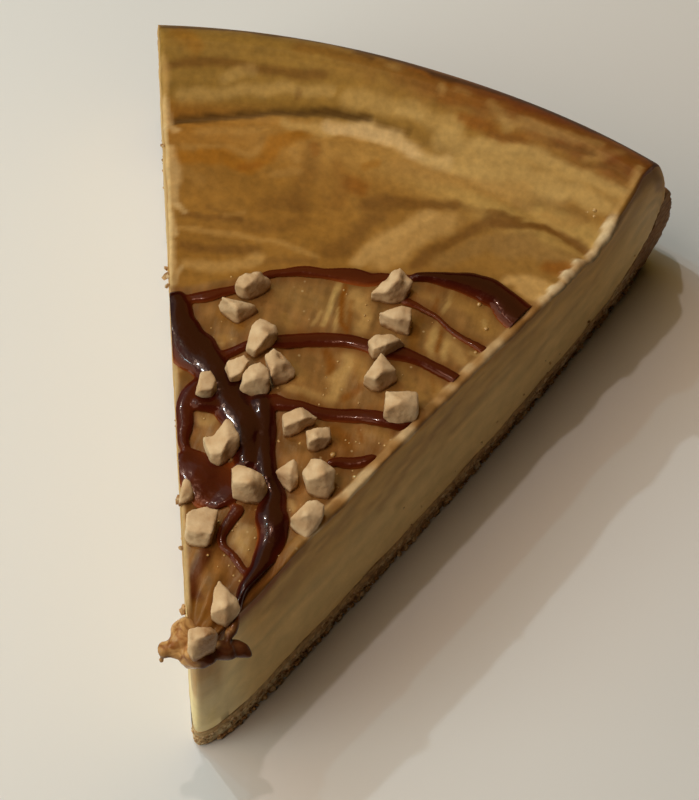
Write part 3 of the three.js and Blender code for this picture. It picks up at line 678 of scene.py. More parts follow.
combed = np.stack([plan[:, 0] / 1.1 + 0.12 * plan[:, 1], plan[:, 1] / 5, 0 * side], axis=-1)
ground = ground * (cloudy + glaze * (0.32 * noise_at(combed, 1, 42) - 0.12))[:, None]

# The strokes over them, and the cream that the knife smeared up along the left edge
warp = np.stack([noise_at(flat, 4, 41), noise_at(flat, 4, 43)], axis=-1) * 0.6
warp = warp + 0.35 * np.stack([noise_at(flat, 1.4, 44), noise_at(flat, 1.4, 46)], axis=-1)
paint = brushed(ground, plan, STROKES, warp)
left_edge = smooth(0.9, 0.3, from_cut) * (side < 0) * smooth(6, 10, radius) * (1 - smooth(94, 98, radius))
paint = laid_on(paint, 0.8 * left_edge, TONES["cream"])

# The cuts: browner under the skin and streaked by the knife, with a little caramel run down near the point.
# Low on the point the cream is painted pale yellow, which is painted light, and higher up it is tan below
# the caramel that hangs over it.
cut_tone = zones(depth + 2.5 * noise_at(points, 9, 45), [
    (0, "#b48d4e"), (1.2, "#bf9c5c"), (8, "#c4a368"), (16, "#d2b884"), (26, "#d9c290")])
streaky = streaks * np.where(side > 0, 1, 0.45)
streaky = 1 + 0.2 * streaky * (1 - smooth(6, 26, depth)) + 0.12 * streaky
cut_tone = cut_tone * streaky[:, None] * [1.06, 0.91, 0.7]
# Painted light: the point's lit cream is painted paler and yellower
cut_tone = laid_on(cut_tone, 0.9 * (1 - smooth(3, 14, radius)), tone("#fae3a8"))
# Tan on the point below the caramel that hangs over it, down to about 14 to 21 mm under the skin
tan_below_skirt = smooth(21, 13.5, depth + 3 * noise_at(points, 2.5, 67)) * (1 - smooth(3, 8, radius))
cut_tone = laid_on(cut_tone, 0.75 * tan_below_skirt, tone("#ad7a40"))
runny = noise_at(points * [1, 1, 0.2], 1.1, 68) * (1 - smooth(2, 7, radius))
cut_tone = cut_tone * (1 + runny[:, None] * [0.1, 0.14, 0.3])
cut_tone = cut_tone * (1 + 0.06 * noise_at(points, 2.5, 49))[:, None]
right_paint = brushed(cut_tone, np.stack([radius, depth], -1), CUT_STROKES, warp)
cut_tone = np.where((side > 0)[:, None], right_paint, cut_tone)
paint = np.where(skin[:, None], paint, cut_tone)

# The brush softens every stroke, so the skin's contrast is raised about its middle tone, and it
# gets less blue than it shows, because its sheen gives blue back
MIDDLE_TONE = tone("#926932")
CONTRAST = 1.25
UNDER_SHEEN = [1.0, 0.96, 0.71]
raised = MIDDLE_TONE * (np.maximum(paint, 0.001) / MIDDLE_TONE) ** CONTRAST * UNDER_SHEEN
raised = raised * (1 - 0.15 * glaze[:, None])
paint = np.where(skin[:, None], raised, paint)
# The raised strip is paler: partly its own tan, partly painted light where its raised edge catches the lamps
strip_tan_and_light = zones(noise_at(flat, 3, 51), [(-0.3, "#8f6536"), (0, "#b68c58"), (0.3, "#dcbd8c")])
paint = laid_on(paint, 0.85 * edge_strip, strip_tan_and_light)
paint = laid_on(paint, 0.9 * torn, zones(jag, [(-0.5, "#bf9865"), (0.5, "#e3cba0")]))
store(baked_cream, "paint", paint)
store(baked_cream, "glaze", glaze)

skin_material, tree, surface = new_material("baked_cheesecake_skin")
# Baked filling with caramel swirled in: satin golden skin, wet where the clear caramel lies on
# it, with pale bubbles caught there. Its pores are drawn 0.45 mm wide, coarser than they are.
SKIN_MOTTLE = 1.2 * MM
SKIN_PORE = 0.45 * MM
BUBBLE_SPACING = 2.4 * MM
GLAZE_STREAK = 1.1 * MM
place = add(tree, "TexCoord").outputs["Object"]
painted = add(tree, "Attribute", attribute_name="paint").outputs["Vector"]
seeped = add(tree, "Attribute", attribute_name="seep").outputs["Fac"]
glazed = add(tree, "Attribute", attribute_name="glaze").outputs["Fac"]
fine = add(tree, "TexNoise", {"Vector": place, "Scale": 1 / SKIN_MOTTLE, "Detail": 5}).outputs["Fac"]
pore = add(tree, "TexNoise", {"Vector": place, "Scale": 1 / SKIN_PORE, "Detail": 2}).outputs["Fac"]
mottle = add(tree, "MapRange", {"Value": fine, "From Min": 0.3, "From Max": 0.7,
                                "To Min": 0.86, "To Max": 1.12}).outputs[0]
stained = tinted(tree, painted, seeped, "#683a14", 0.65, fine)
bubble = add(tree, "TexVoronoi", {"Vector": place, "Scale": 1 / BUBBLE_SPACING}).outputs["Distance"]
bubble = add(tree, "MapRange", {"Value": bubble, "From Min": 0.11, "From Max": 0.04}).outputs[0]
bubble = add(tree, "Math", {0: bubble, 1: glazed}, operation="MULTIPLY").outputs[0]
stained = tinted(tree, stained, bubble, "#e2c690", 0.35)
final = add(tree, "VectorMath", {0: stained, 1: mottle}, operation="MULTIPLY").outputs[0]
tree.links.new(final, surface.inputs["Base Color"])
wet = add(tree, "MapRange", {"Value": glazed, "To Min": 0.58, "To Max": 0.32}).outputs[0]
tree.links.new(wet, surface.inputs["Roughness"])
small = add(tree, "Bump", {"Height": pore, "Strength": 0.15, "Distance": 0.1 * MM})
drawn_out = add(tree, "Mapping", {"Vector": place, "Scale": (1, 0.25, 1)}).outputs[0]
streak = add(tree, "TexNoise", {"Vector": drawn_out, "Scale": 1 / GLAZE_STREAK, "Detail": 3}).outputs["Fac"]
wet_relief = add(tree, "Math", {0: streak, 1: glazed}, operation="MULTIPLY").outputs[0]
ripples = add(tree, "Bump", {"Height": wet_relief, "Strength": 0.35, "Distance": 0.3 * MM,
                             "Normal": small.outputs[0]})
tree.links.new(ripples.outputs[0], surface.inputs["Normal"])
surface.inputs["Specular IOR Level"].default_value = 0.22
surface.inputs["Specular Tint"].default_value = colour("#ffd9a8")

cut_material, tree, surface = new_material("cut_baked_cream")
# Dense baked cream cheese, cut clean: pale ivory, a little moist, browner just under the skin
CURD_WIDTH = 2.5 * MM
CREAM_PORE = 0.6 * MM
place = add(tree, "TexCoord").outputs["Object"]
painted = add(tree, "Attribute", attribute_name="paint").outputs["Vector"]
cloud = add(tree, "TexNoise", {"Vector": place, "Scale": 1 / CURD_WIDTH, "Detail": 4}).outputs["Fac"]
pore = add(tree, "TexNoise", {"Vector": place, "Scale": 1 / CREAM_PORE, "Detail": 3}).outputs["Fac"]
curd = add(tree, "MapRange", {"Value": cloud, "From Min": 0.3, "From Max": 0.7,
                              "To Min": 0.93, "To Max": 1.06}).outputs[0]
cream = add(tree, "VectorMath", {0: painted, 1: curd}, operation="MULTIPLY").outputs[0]
tree.links.new(cream, surface.inputs["Base Color"])
bump = add(tree, "Bump", {"Height": pore, "Strength": 0.3, "Distance": 0.15 * MM})
tree.links.new(bump.outputs[0], surface.inputs["Normal"])
surface.inputs["Roughness"].default_value = 0.6
surface.inputs["Specular IOR Level"].default_value = 0.2

baked_cream.data.materials.append(skin_material)
baked_cream.data.materials.append(cut_material)
corners = np.array([p.vertices[:] for p in baked_cream.data.polygons])
on_skin = skin[corners].all(axis=1)
baked_cream.data.polygons.foreach_set("material_index", np.where(on_skin, 0, 1).astype(np.int32))

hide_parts("cheesecake_body")
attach(baked_cream, "root")

# Caramel
# Thick salted caramel poured in runs over the front and pooled round the point. Each run is a
# flattened tube lying on the skin; they are melted into one skin so that they flow together.
# A run has its thickness, and places with its width there.
CARAMEL_RUNS = {
    "outer_arc": (0.6, [
        (-23.5, 55, 2), (-20.5, 57, 1.8), (-18.5, 58, 2), (-16.5, 59.5, 1.8), (-14.5, 61, 1.6),
        (-12.5, 63.5, 1.4), (-10.5, 65.5, 1.6), (-8.5, 66.5, 1.6), (-6.5, 67.5, 2), (-2.5, 68.5, 2.2),
        (-0.5, 69, 2.7), (2, 69.5, 3.3), (4.5, 70, 2.7), (6, 71, 2), (8, 71.5, 1.5), (10.5, 72.5, 1.3),
        (13, 73.5, 1.6)]),
    "arc_end": (1.2, [
        (10, 72.5, 1.3), (13, 73.5, 1.6), (16, 74, 2.4), (19, 74.5, 3.4), (21.5, 74.5, 3.9), (24, 74, 4),
        (26.5, 72.5, 4.7), (29.5, 71, 5.1), (32.5, 69.5, 5)]),
    "short_branch": (0.5, [
        (9.5, 68, 1.4), (11.5, 68, 1.4), (14, 67.5, 1.1), (16, 67, 1), (18.5, 65.5, 1.1), (21, 64.5, 1.2),
        (23, 64, 1.5), (26.5, 63, 1.9)]),
    "second_arc": (0.75, [
        (-14, 48, 1.8), (-11.5, 50, 1.6), (-9.5, 52, 1.6), (-7, 53.5, 2), (-4.5, 54.5, 2.4),
        (-1.5, 56, 2.4), (1, 57, 2.5), (5, 58, 2.5), (10.5, 58, 2.7), (13, 58.5, 2.7), (15.5, 58.5, 2.2),
        (18.5, 58, 2), (21, 57.5, 2.2), (25, 56, 2.3)]),
    "third_arc": (0.75, [
        (-4, 44, 2.9), (-1, 44, 2.3), (1.5, 44.5, 2), (4.5, 44.5, 2.2), (7, 45, 2.4), (10.5, 46, 2.5),
        (14, 46.5, 2.7), (17, 46.5, 2), (19, 47.5, 1.3)]),
    "right_dab": (0.7, [(8, 36.5, 1.1), (9.5, 37.5, 1.8), (11.5, 38, 2.2), (13.5, 39, 2), (15, 40.5, 1.4)]),
    "main_rope": (1.4, [
        (-24, 57, 3.2), (-22, 55, 3.5), (-21, 52.5, 4.2), (-19.5, 50.5, 5.2), (-17, 48.5, 5.7),
        (-14.5, 47, 5.1), (-12, 45, 4.6), (-10, 43, 4.8), (-8, 41, 4.8), (-5.5, 38.5, 4.4), (-4.5, 36, 3.8),
        (-3.5, 34, 3.4), (-2.5, 31.5, 3)]),
    "rope_beside_it": (1.4, [
        (-5.5, 44.5, 2.6), (-4, 42.5, 3.2), (-3, 40, 3.2), (-2, 37, 3.3), (-1, 34.5, 3), (0.5, 31.5, 2.9),
        (2.5, 29, 3.2), (3, 26.5, 3.8), (4, 24, 4), (4.5, 22, 3.7), (4.5, 19.5, 3.1), (4.5, 17, 2.5),
        (4, 15, 2), (3.5, 13, 1.7), (3.5, 11, 1.3), (3.5, 9, 1.1)]),
    "left_loop": (0.8, [
        (-13.5, 44.5, 1.7), (-14.5, 42.5, 2.2), (-15, 40.5, 2.4), (-15, 38.5, 2.4), (-14, 36, 2.1),
        (-13.5, 33.5, 1.6), (-12, 31.5, 1.4)]),
    "loop_link": (1.0, [(-14.5, 39.5, 2.2), (-12.5, 40, 2), (-10.5, 40.5, 2.4), (-9, 41, 2.5)]),
    "dark_pool": (0.8, [
        (-13.5, 31, 3), (-11.5, 30, 4.6), (-9.5, 29, 6), (-7.5, 28, 7.2), (-5, 27.5, 7), (-2.5, 26, 4.6)]),
    "fine_thread": (0.55, [
        (-1.5, 26, 2.2), (-2, 24, 2), (-2.5, 22, 1.8), (-2.5, 19.5, 1.5), (-1.5, 18.5, 1.4),
        (-0.5, 18, 1.4), (1.5, 16.5, 1.5), (3.5, 15, 1.5)]),
}
# Round the point the caramel hangs over in lumps: middle and half sizes, from the cake's centre
TIP_CARAMEL = [
    ((-2.7, 3.9, 34.9), (2.0, 2.6, 1.7)), ((-3.4, 2.3, 34.4), (1.3, 1.6, 1.4)),
    ((-4.6, 1.0, 33.8), (1.3, 1.2, 1.1)), ((-3.2, 1.3, 33.6), (1.7, 1.1, 1.0)),
    ((-4.8, -0.1, 32.2), (0.45, 0.4, 0.7)), ((0.3, 2.2, 34.0), (2.8, 2.4, 2.0)),
    ((-0.6, 0.8, 32.8), (1.7, 0.9, 1.6)), ((-0.9, 0.5, 31.9), (0.8, 0.5, 0.9)),
    ((3.2, 3.5, 33.9), (2.3, 1.5, 1.5)), ((5.2, 4.8, 33.3), (1.9, 1.4, 1.2)),
    ((6.5, 4.7, 33.0), (1.1, 0.8, 0.8)), ((3.6, 7.2, 34.9), (0.9, 2.6, 0.8)),
]
RUN_STEP = 0.6        # between the rings of a run
RING_SIDES = 14
THICK_RUN = 0.8       # a run at least this thick has spread wider than the others
LUMP_SIZE = 1.3       # of the unevenness of the lumps round the point
MELT_STEP = 0.24      # grid of the melted skin
STRIP_WIDTH = 1.35    # the runs end at the raised strip along the right cut
RED_DROP = [-4.3, 0.3, 33.4]


def height_at(x, y):
    return top_height(np.hypot(x, y), np.clip(np.arctan2(x, y) / HALF_ANGLE, -1, 1))


def flowing(route, step):
    """A route through the given points with soft bends, one point each step."""
    route = np.array(route, float)
    stretch = np.concatenate([[0], np.cumsum(np.hypot(*np.diff(route[:, :2], axis=0).T))])
    slopes = np.gradient(route, stretch, axis=0)
    fine = np.linspace(0, stretch[-1], max(4, int(stretch[-1] / step)))
    k = np.clip(np.searchsorted(stretch, fine, side="right") - 1, 0, len(route) - 2)
    width = (stretch[k + 1] - stretch[k])[:, None]
    t = ((fine - stretch[k])[:, None]) / width
    return ((2 * t ** 3 - 3 * t ** 2 + 1) * route[k] + (t ** 3 - 2 * t ** 2 + t) * width * slopes[k]
            + (3 * t ** 2 - 2 * t ** 3) * route[k + 1] + (t ** 3 - t ** 2) * width * slopes[k + 1])


def pour(melt, thickness, route):
    """Adds a run to the melt: a ring is drawn out along its line and set at each step."""
    line = flowing(route, RUN_STEP)
    tangents = np.gradient(line[:, :2], axis=0)
    tangents /= np.linalg.norm(tangents, axis=1)[:, None]
    shares = np.linspace(0, 1, len(line))
    uneven = 0.14 * noise_at(line * [1, 1, 0], 2.5, 47)
    width = line[:, 2] * ((1.3 if thickness >= THICK_RUN else 1.1) + uneven)
    swell = np.sqrt(np.clip(np.sin(math.pi * shares) * len(line) / 5 + 0.12, 0, 1))
    base = height_at(line[:, 0], line[:, 1]) + 0.05
    ring = bmesh.ops.create_circle(melt, cap_ends=True, segments=RING_SIDES, radius=1)["verts"]
    faces = list({f for v in ring for f in v.link_faces})
    for number in range(len(line)):
        if number > 0:
            grown = bmesh.ops.extrude_face_region(melt, geom=faces, use_keep_orig=(number == 1))
            ring = [g for g in grown["geom"] if isinstance(g, bmesh.types.BMVert)]
            faces = [g for g in grown["geom"] if isinstance(g, bmesh.types.BMFace)]
        for corner, vert in enumerate(ring):
            turn = 2 * math.pi * corner / RING_SIDES
            out = 0.5 * width[number] * swell[number] * math.cos(turn)
            up = 0.8 * thickness * swell[number] * math.sin(turn) * (1 if math.sin(turn) > 0 else 0.5)
            vert.co = (line[number, 0] + tangents[number, 1] * out,
                       line[number, 1] - tangents[number, 0] * out, base[number] + up)


def melted(piece, step, rounds):
    """A bmesh of the piece with its closed shapes melted into one, in metres, and smoothed."""
    remesh = piece.modifiers.new("melt", "REMESH")
    remesh.mode = "VOXEL"
    remesh.voxel_size = step * MM
    solid = piece.evaluated_get(bpy.context.evaluated_depsgraph_get())
    whole = bmesh.new()
    whole.from_mesh(solid.to_mesh())
    solid.to_mesh_clear()
    piece.modifiers.clear()
    for _ in range(rounds):
        bmesh.ops.smooth_vert(whole, verts=whole.verts, factor=0.5,
                              use_axis_x=True, use_axis_y=True, use_axis_z=True)
    whole.normal_update()
    return whole


melt = bmesh.new()
for thickness, route in CARAMEL_RUNS.values():
    pour(melt, thickness, route)
for middle, half in TIP_CARAMEL:
    sized = Matrix.Translation(middle) @ Matrix.Diagonal((*half, 1))
    lump = bmesh.ops.create_icosphere(melt, subdivisions=3, radius=1, matrix=sized)
    for vert in lump["verts"]:
        vert.co += (vert.co - Vector(middle)) * 0.2 * noise.noise(vert.co / LUMP_SIZE)
bmesh.ops.recalc_face_normals(melt, faces=melt.faces)
caramel = finished("salted_caramel", melt, places_of(melt))
flow = melted(caramel, MELT_STEP, rounds=5)
where = places_of(flow) / MM - CAKE_CENTRE

# The knife cut the runs flush with the left cut, and on the right they stop at the raised strip
past_right = where @ right_cut + STRIP_WIDTH
past_left = where @ left_cut - left_bulge(where[:, 1])
on_body = smooth(9, 14, where[:, 1])
where = where - right_cut * (np.clip(past_right, 0, None) * on_body)[:, None]
where = where - left_cut * (np.clip(past_left, 0, None) * on_body)[:, None]
fill(caramel, flow, where)

# The caramel round the point is stirred with cream and paler; it darkens towards its right side, and one
# drop is dark red
lies = where[:, 2] - height_at(where[:, 0], where[:, 1])
store(caramel, "thickness", np.where(where[:, 1] < 8, np.maximum(lies, 0.7), lies))
darker = smooth(1, 3, where[:, 0] - 0.5 * (where[:, 1] - 3) + noise_at(where, 1.5, 63))
milky = (1 - smooth(6, 9, where[:, 1])) * (1 - 0.92 * darker)
red_spot = bell(np.linalg.norm(where - RED_DROP, axis=1), 0.9)
store(caramel, "milky", np.clip(milky - red_spot, 0, 1))

caramel_material, tree, surface = new_material("salted_caramel_sauce")
# Boiled sugar, butter and cream: dark red-brown where it lies thick, amber where it thins out,
# with the hard gloss of syrup. Round the point it is stirred with cream and paler.
SWIRL_WIDTH = 2.2 * MM
RIPPLE_WIDTH = 1.6 * MM
place = add(tree, "TexCoord").outputs["Object"]
thick = add(tree, "Attribute", attribute_name="thickness").outputs["Fac"]
stirred = add(tree, "Attribute", attribute_name="milky").outputs["Fac"]
depth_tone = add(tree, "ValToRGB", {"Fac": thick})
ramp = depth_tone.color_ramp
ramp.elements[0].position = 0.05
ramp.elements[0].color = colour("#8a451a")
ramp.elements[1].color = colour("#2a0b05")
ramp.elements.new(0.35).color = colour("#54200a")
ramp.elements.new(0.65).color = colour("#421307")
swirl = add(tree, "TexNoise", {"Vector": place, "Scale": 1 / SWIRL_WIDTH, "Detail": 3,
                               "Distortion": 1.2}).outputs["Fac"]
swirl = add(tree, "MapRange", {"Value": swirl, "From Min": 0.35, "From Max": 0.62}).outputs[0]
milk = add(tree, "Mix", {0: swirl, 6: colour("#8a5528"), 7: colour("#cf9f62")}, data_type="RGBA")
mixed = add(tree, "Mix", {0: stirred, 6: depth_tone.outputs["Color"], 7: milk.outputs[2]}, data_type="RGBA")
tree.links.new(mixed.outputs[2], surface.inputs["Base Color"])
lazy = add(tree, "TexNoise", {"Vector": place, "Scale": 1 / RIPPLE_WIDTH, "Detail": 2}).outputs["Fac"]
bump = add(tree, "Bump", {"Height": lazy, "Strength": 0.3, "Distance": 0.3 * MM})
tree.links.new(bump.outputs[0], surface.inputs["Normal"])
surface.inputs["Roughness"].default_value = 0.2
surface.inputs["IOR"].default_value = 1.49
surface.inputs["Specular IOR Level"].default_value = 0.16
surface.inputs["Specular Tint"].default_value = colour("#ffc4a4")
surface.inputs["Coat Weight"].default_value = 0.12
surface.inputs["Coat Roughness"].default_value = 0.06
caramel.data.materials.append(caramel_material)
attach(caramel, "root")
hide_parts("cheesecake_body")

# The caramel seeps into the skin beside each run and darkens it, the wider the thicker the run
seep = np.zeros(len(plan))
for thickness, route in CARAMEL_RUNS.values():
    route = np.array(route)
    past_edge = distance_to(plan + 0.5 * warp, route[:, :2]) - 0.5 * route[:, 2].mean()
    seep = np.maximum(seep, bell(np.clip(past_edge, 0, None), 0.6 + 0.85 * thickness))
store(baked_cream, "seep", seep * skin * smooth(0, 1, glaze + 0.3))

# Syrup drops
# Small flat drops of clear syrup that boiled out beside the swirls and stand on the skin. The
# large ones have a place and a half width, and a fine sprinkle lies over the glaze.
SYRUP_DROPS = [
    (17.6, 95.8, 0.3), (20.2, 95.5, 0.35), (22.2, 95.8, 0.25), (28.7, 96.9, 0.3), (30.5, 96.8, 0.3),
    (29.7, 93.7, 0.3), (31.7, 93.4, 0.3), (33.9, 92.7, 0.5), (32.9, 92.3, 0.35), (34.1, 91.9, 0.4),
    (28.9, 93.3, 0.25), (8.6, 38.5, 0.5), (12.9, 35.9, 0.5), (16.5, 42.8, 0.35), (21.5, 71.7, 0.4),
    (23.8, 67.8, 0.4), (23.6, 62.8, 0.35), (15.5, 42.5, 0.3), (3.4, 38.5, 0.3)]
SPRINKLED_DROPS = 90
SPRINKLE_SEED = 7
DROP_SHAPE = (0.9, 0.9, 0.72)

spread_out = []
sprinkle = np.random.default_rng(SPRINKLE_SEED)
for _ in range(SPRINKLED_DROPS):
    out, across = sprinkle.uniform(14, 70), sprinkle.uniform(-0.9, 0.85) * HALF_ANGLE
    spread_out.append((out * math.sin(across), out * math.cos(across), sprinkle.uniform(0.12, 0.24)))
drops = bmesh.new()
for x, y, size in SYRUP_DROPS + spread_out:
    spot = Matrix.Translation((x, y, float(height_at(x, y))))
    sized = Matrix.Diagonal((*(size * s for s in DROP_SHAPE), 1))
    bmesh.ops.create_icosphere(drops, subdivisions=2, radius=1, matrix=spot @ sized)
syrup_drops = finished("syrup_drops", drops, places_of(drops))

drop_material, tree, surface = new_material("clear_syrup")
# Clear sugar syrup over the golden skin: takes the skin's colour, with a bright glint
SYRUP_CLOUD = 3 * MM
place = add(tree, "TexCoord").outputs["Object"]
amber = add(tree, "TexNoise", {"Vector": place, "Scale": 1 / SYRUP_CLOUD}).outputs["Fac"]
amber = add(tree, "Mix", {0: amber, 6: colour("#a97f42"), 7: colour("#c39a5c")}, data_type="RGBA")
tree.links.new(amber.outputs[2], surface.inputs["Base Color"])
surface.inputs["Roughness"].default_value = 0.2
surface.inputs["IOR"].default_value = 1.49
surface.inputs["Coat Weight"].default_value = 0.4
syrup_drops.data.materials.append(drop_material)
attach(syrup_drops, "root")

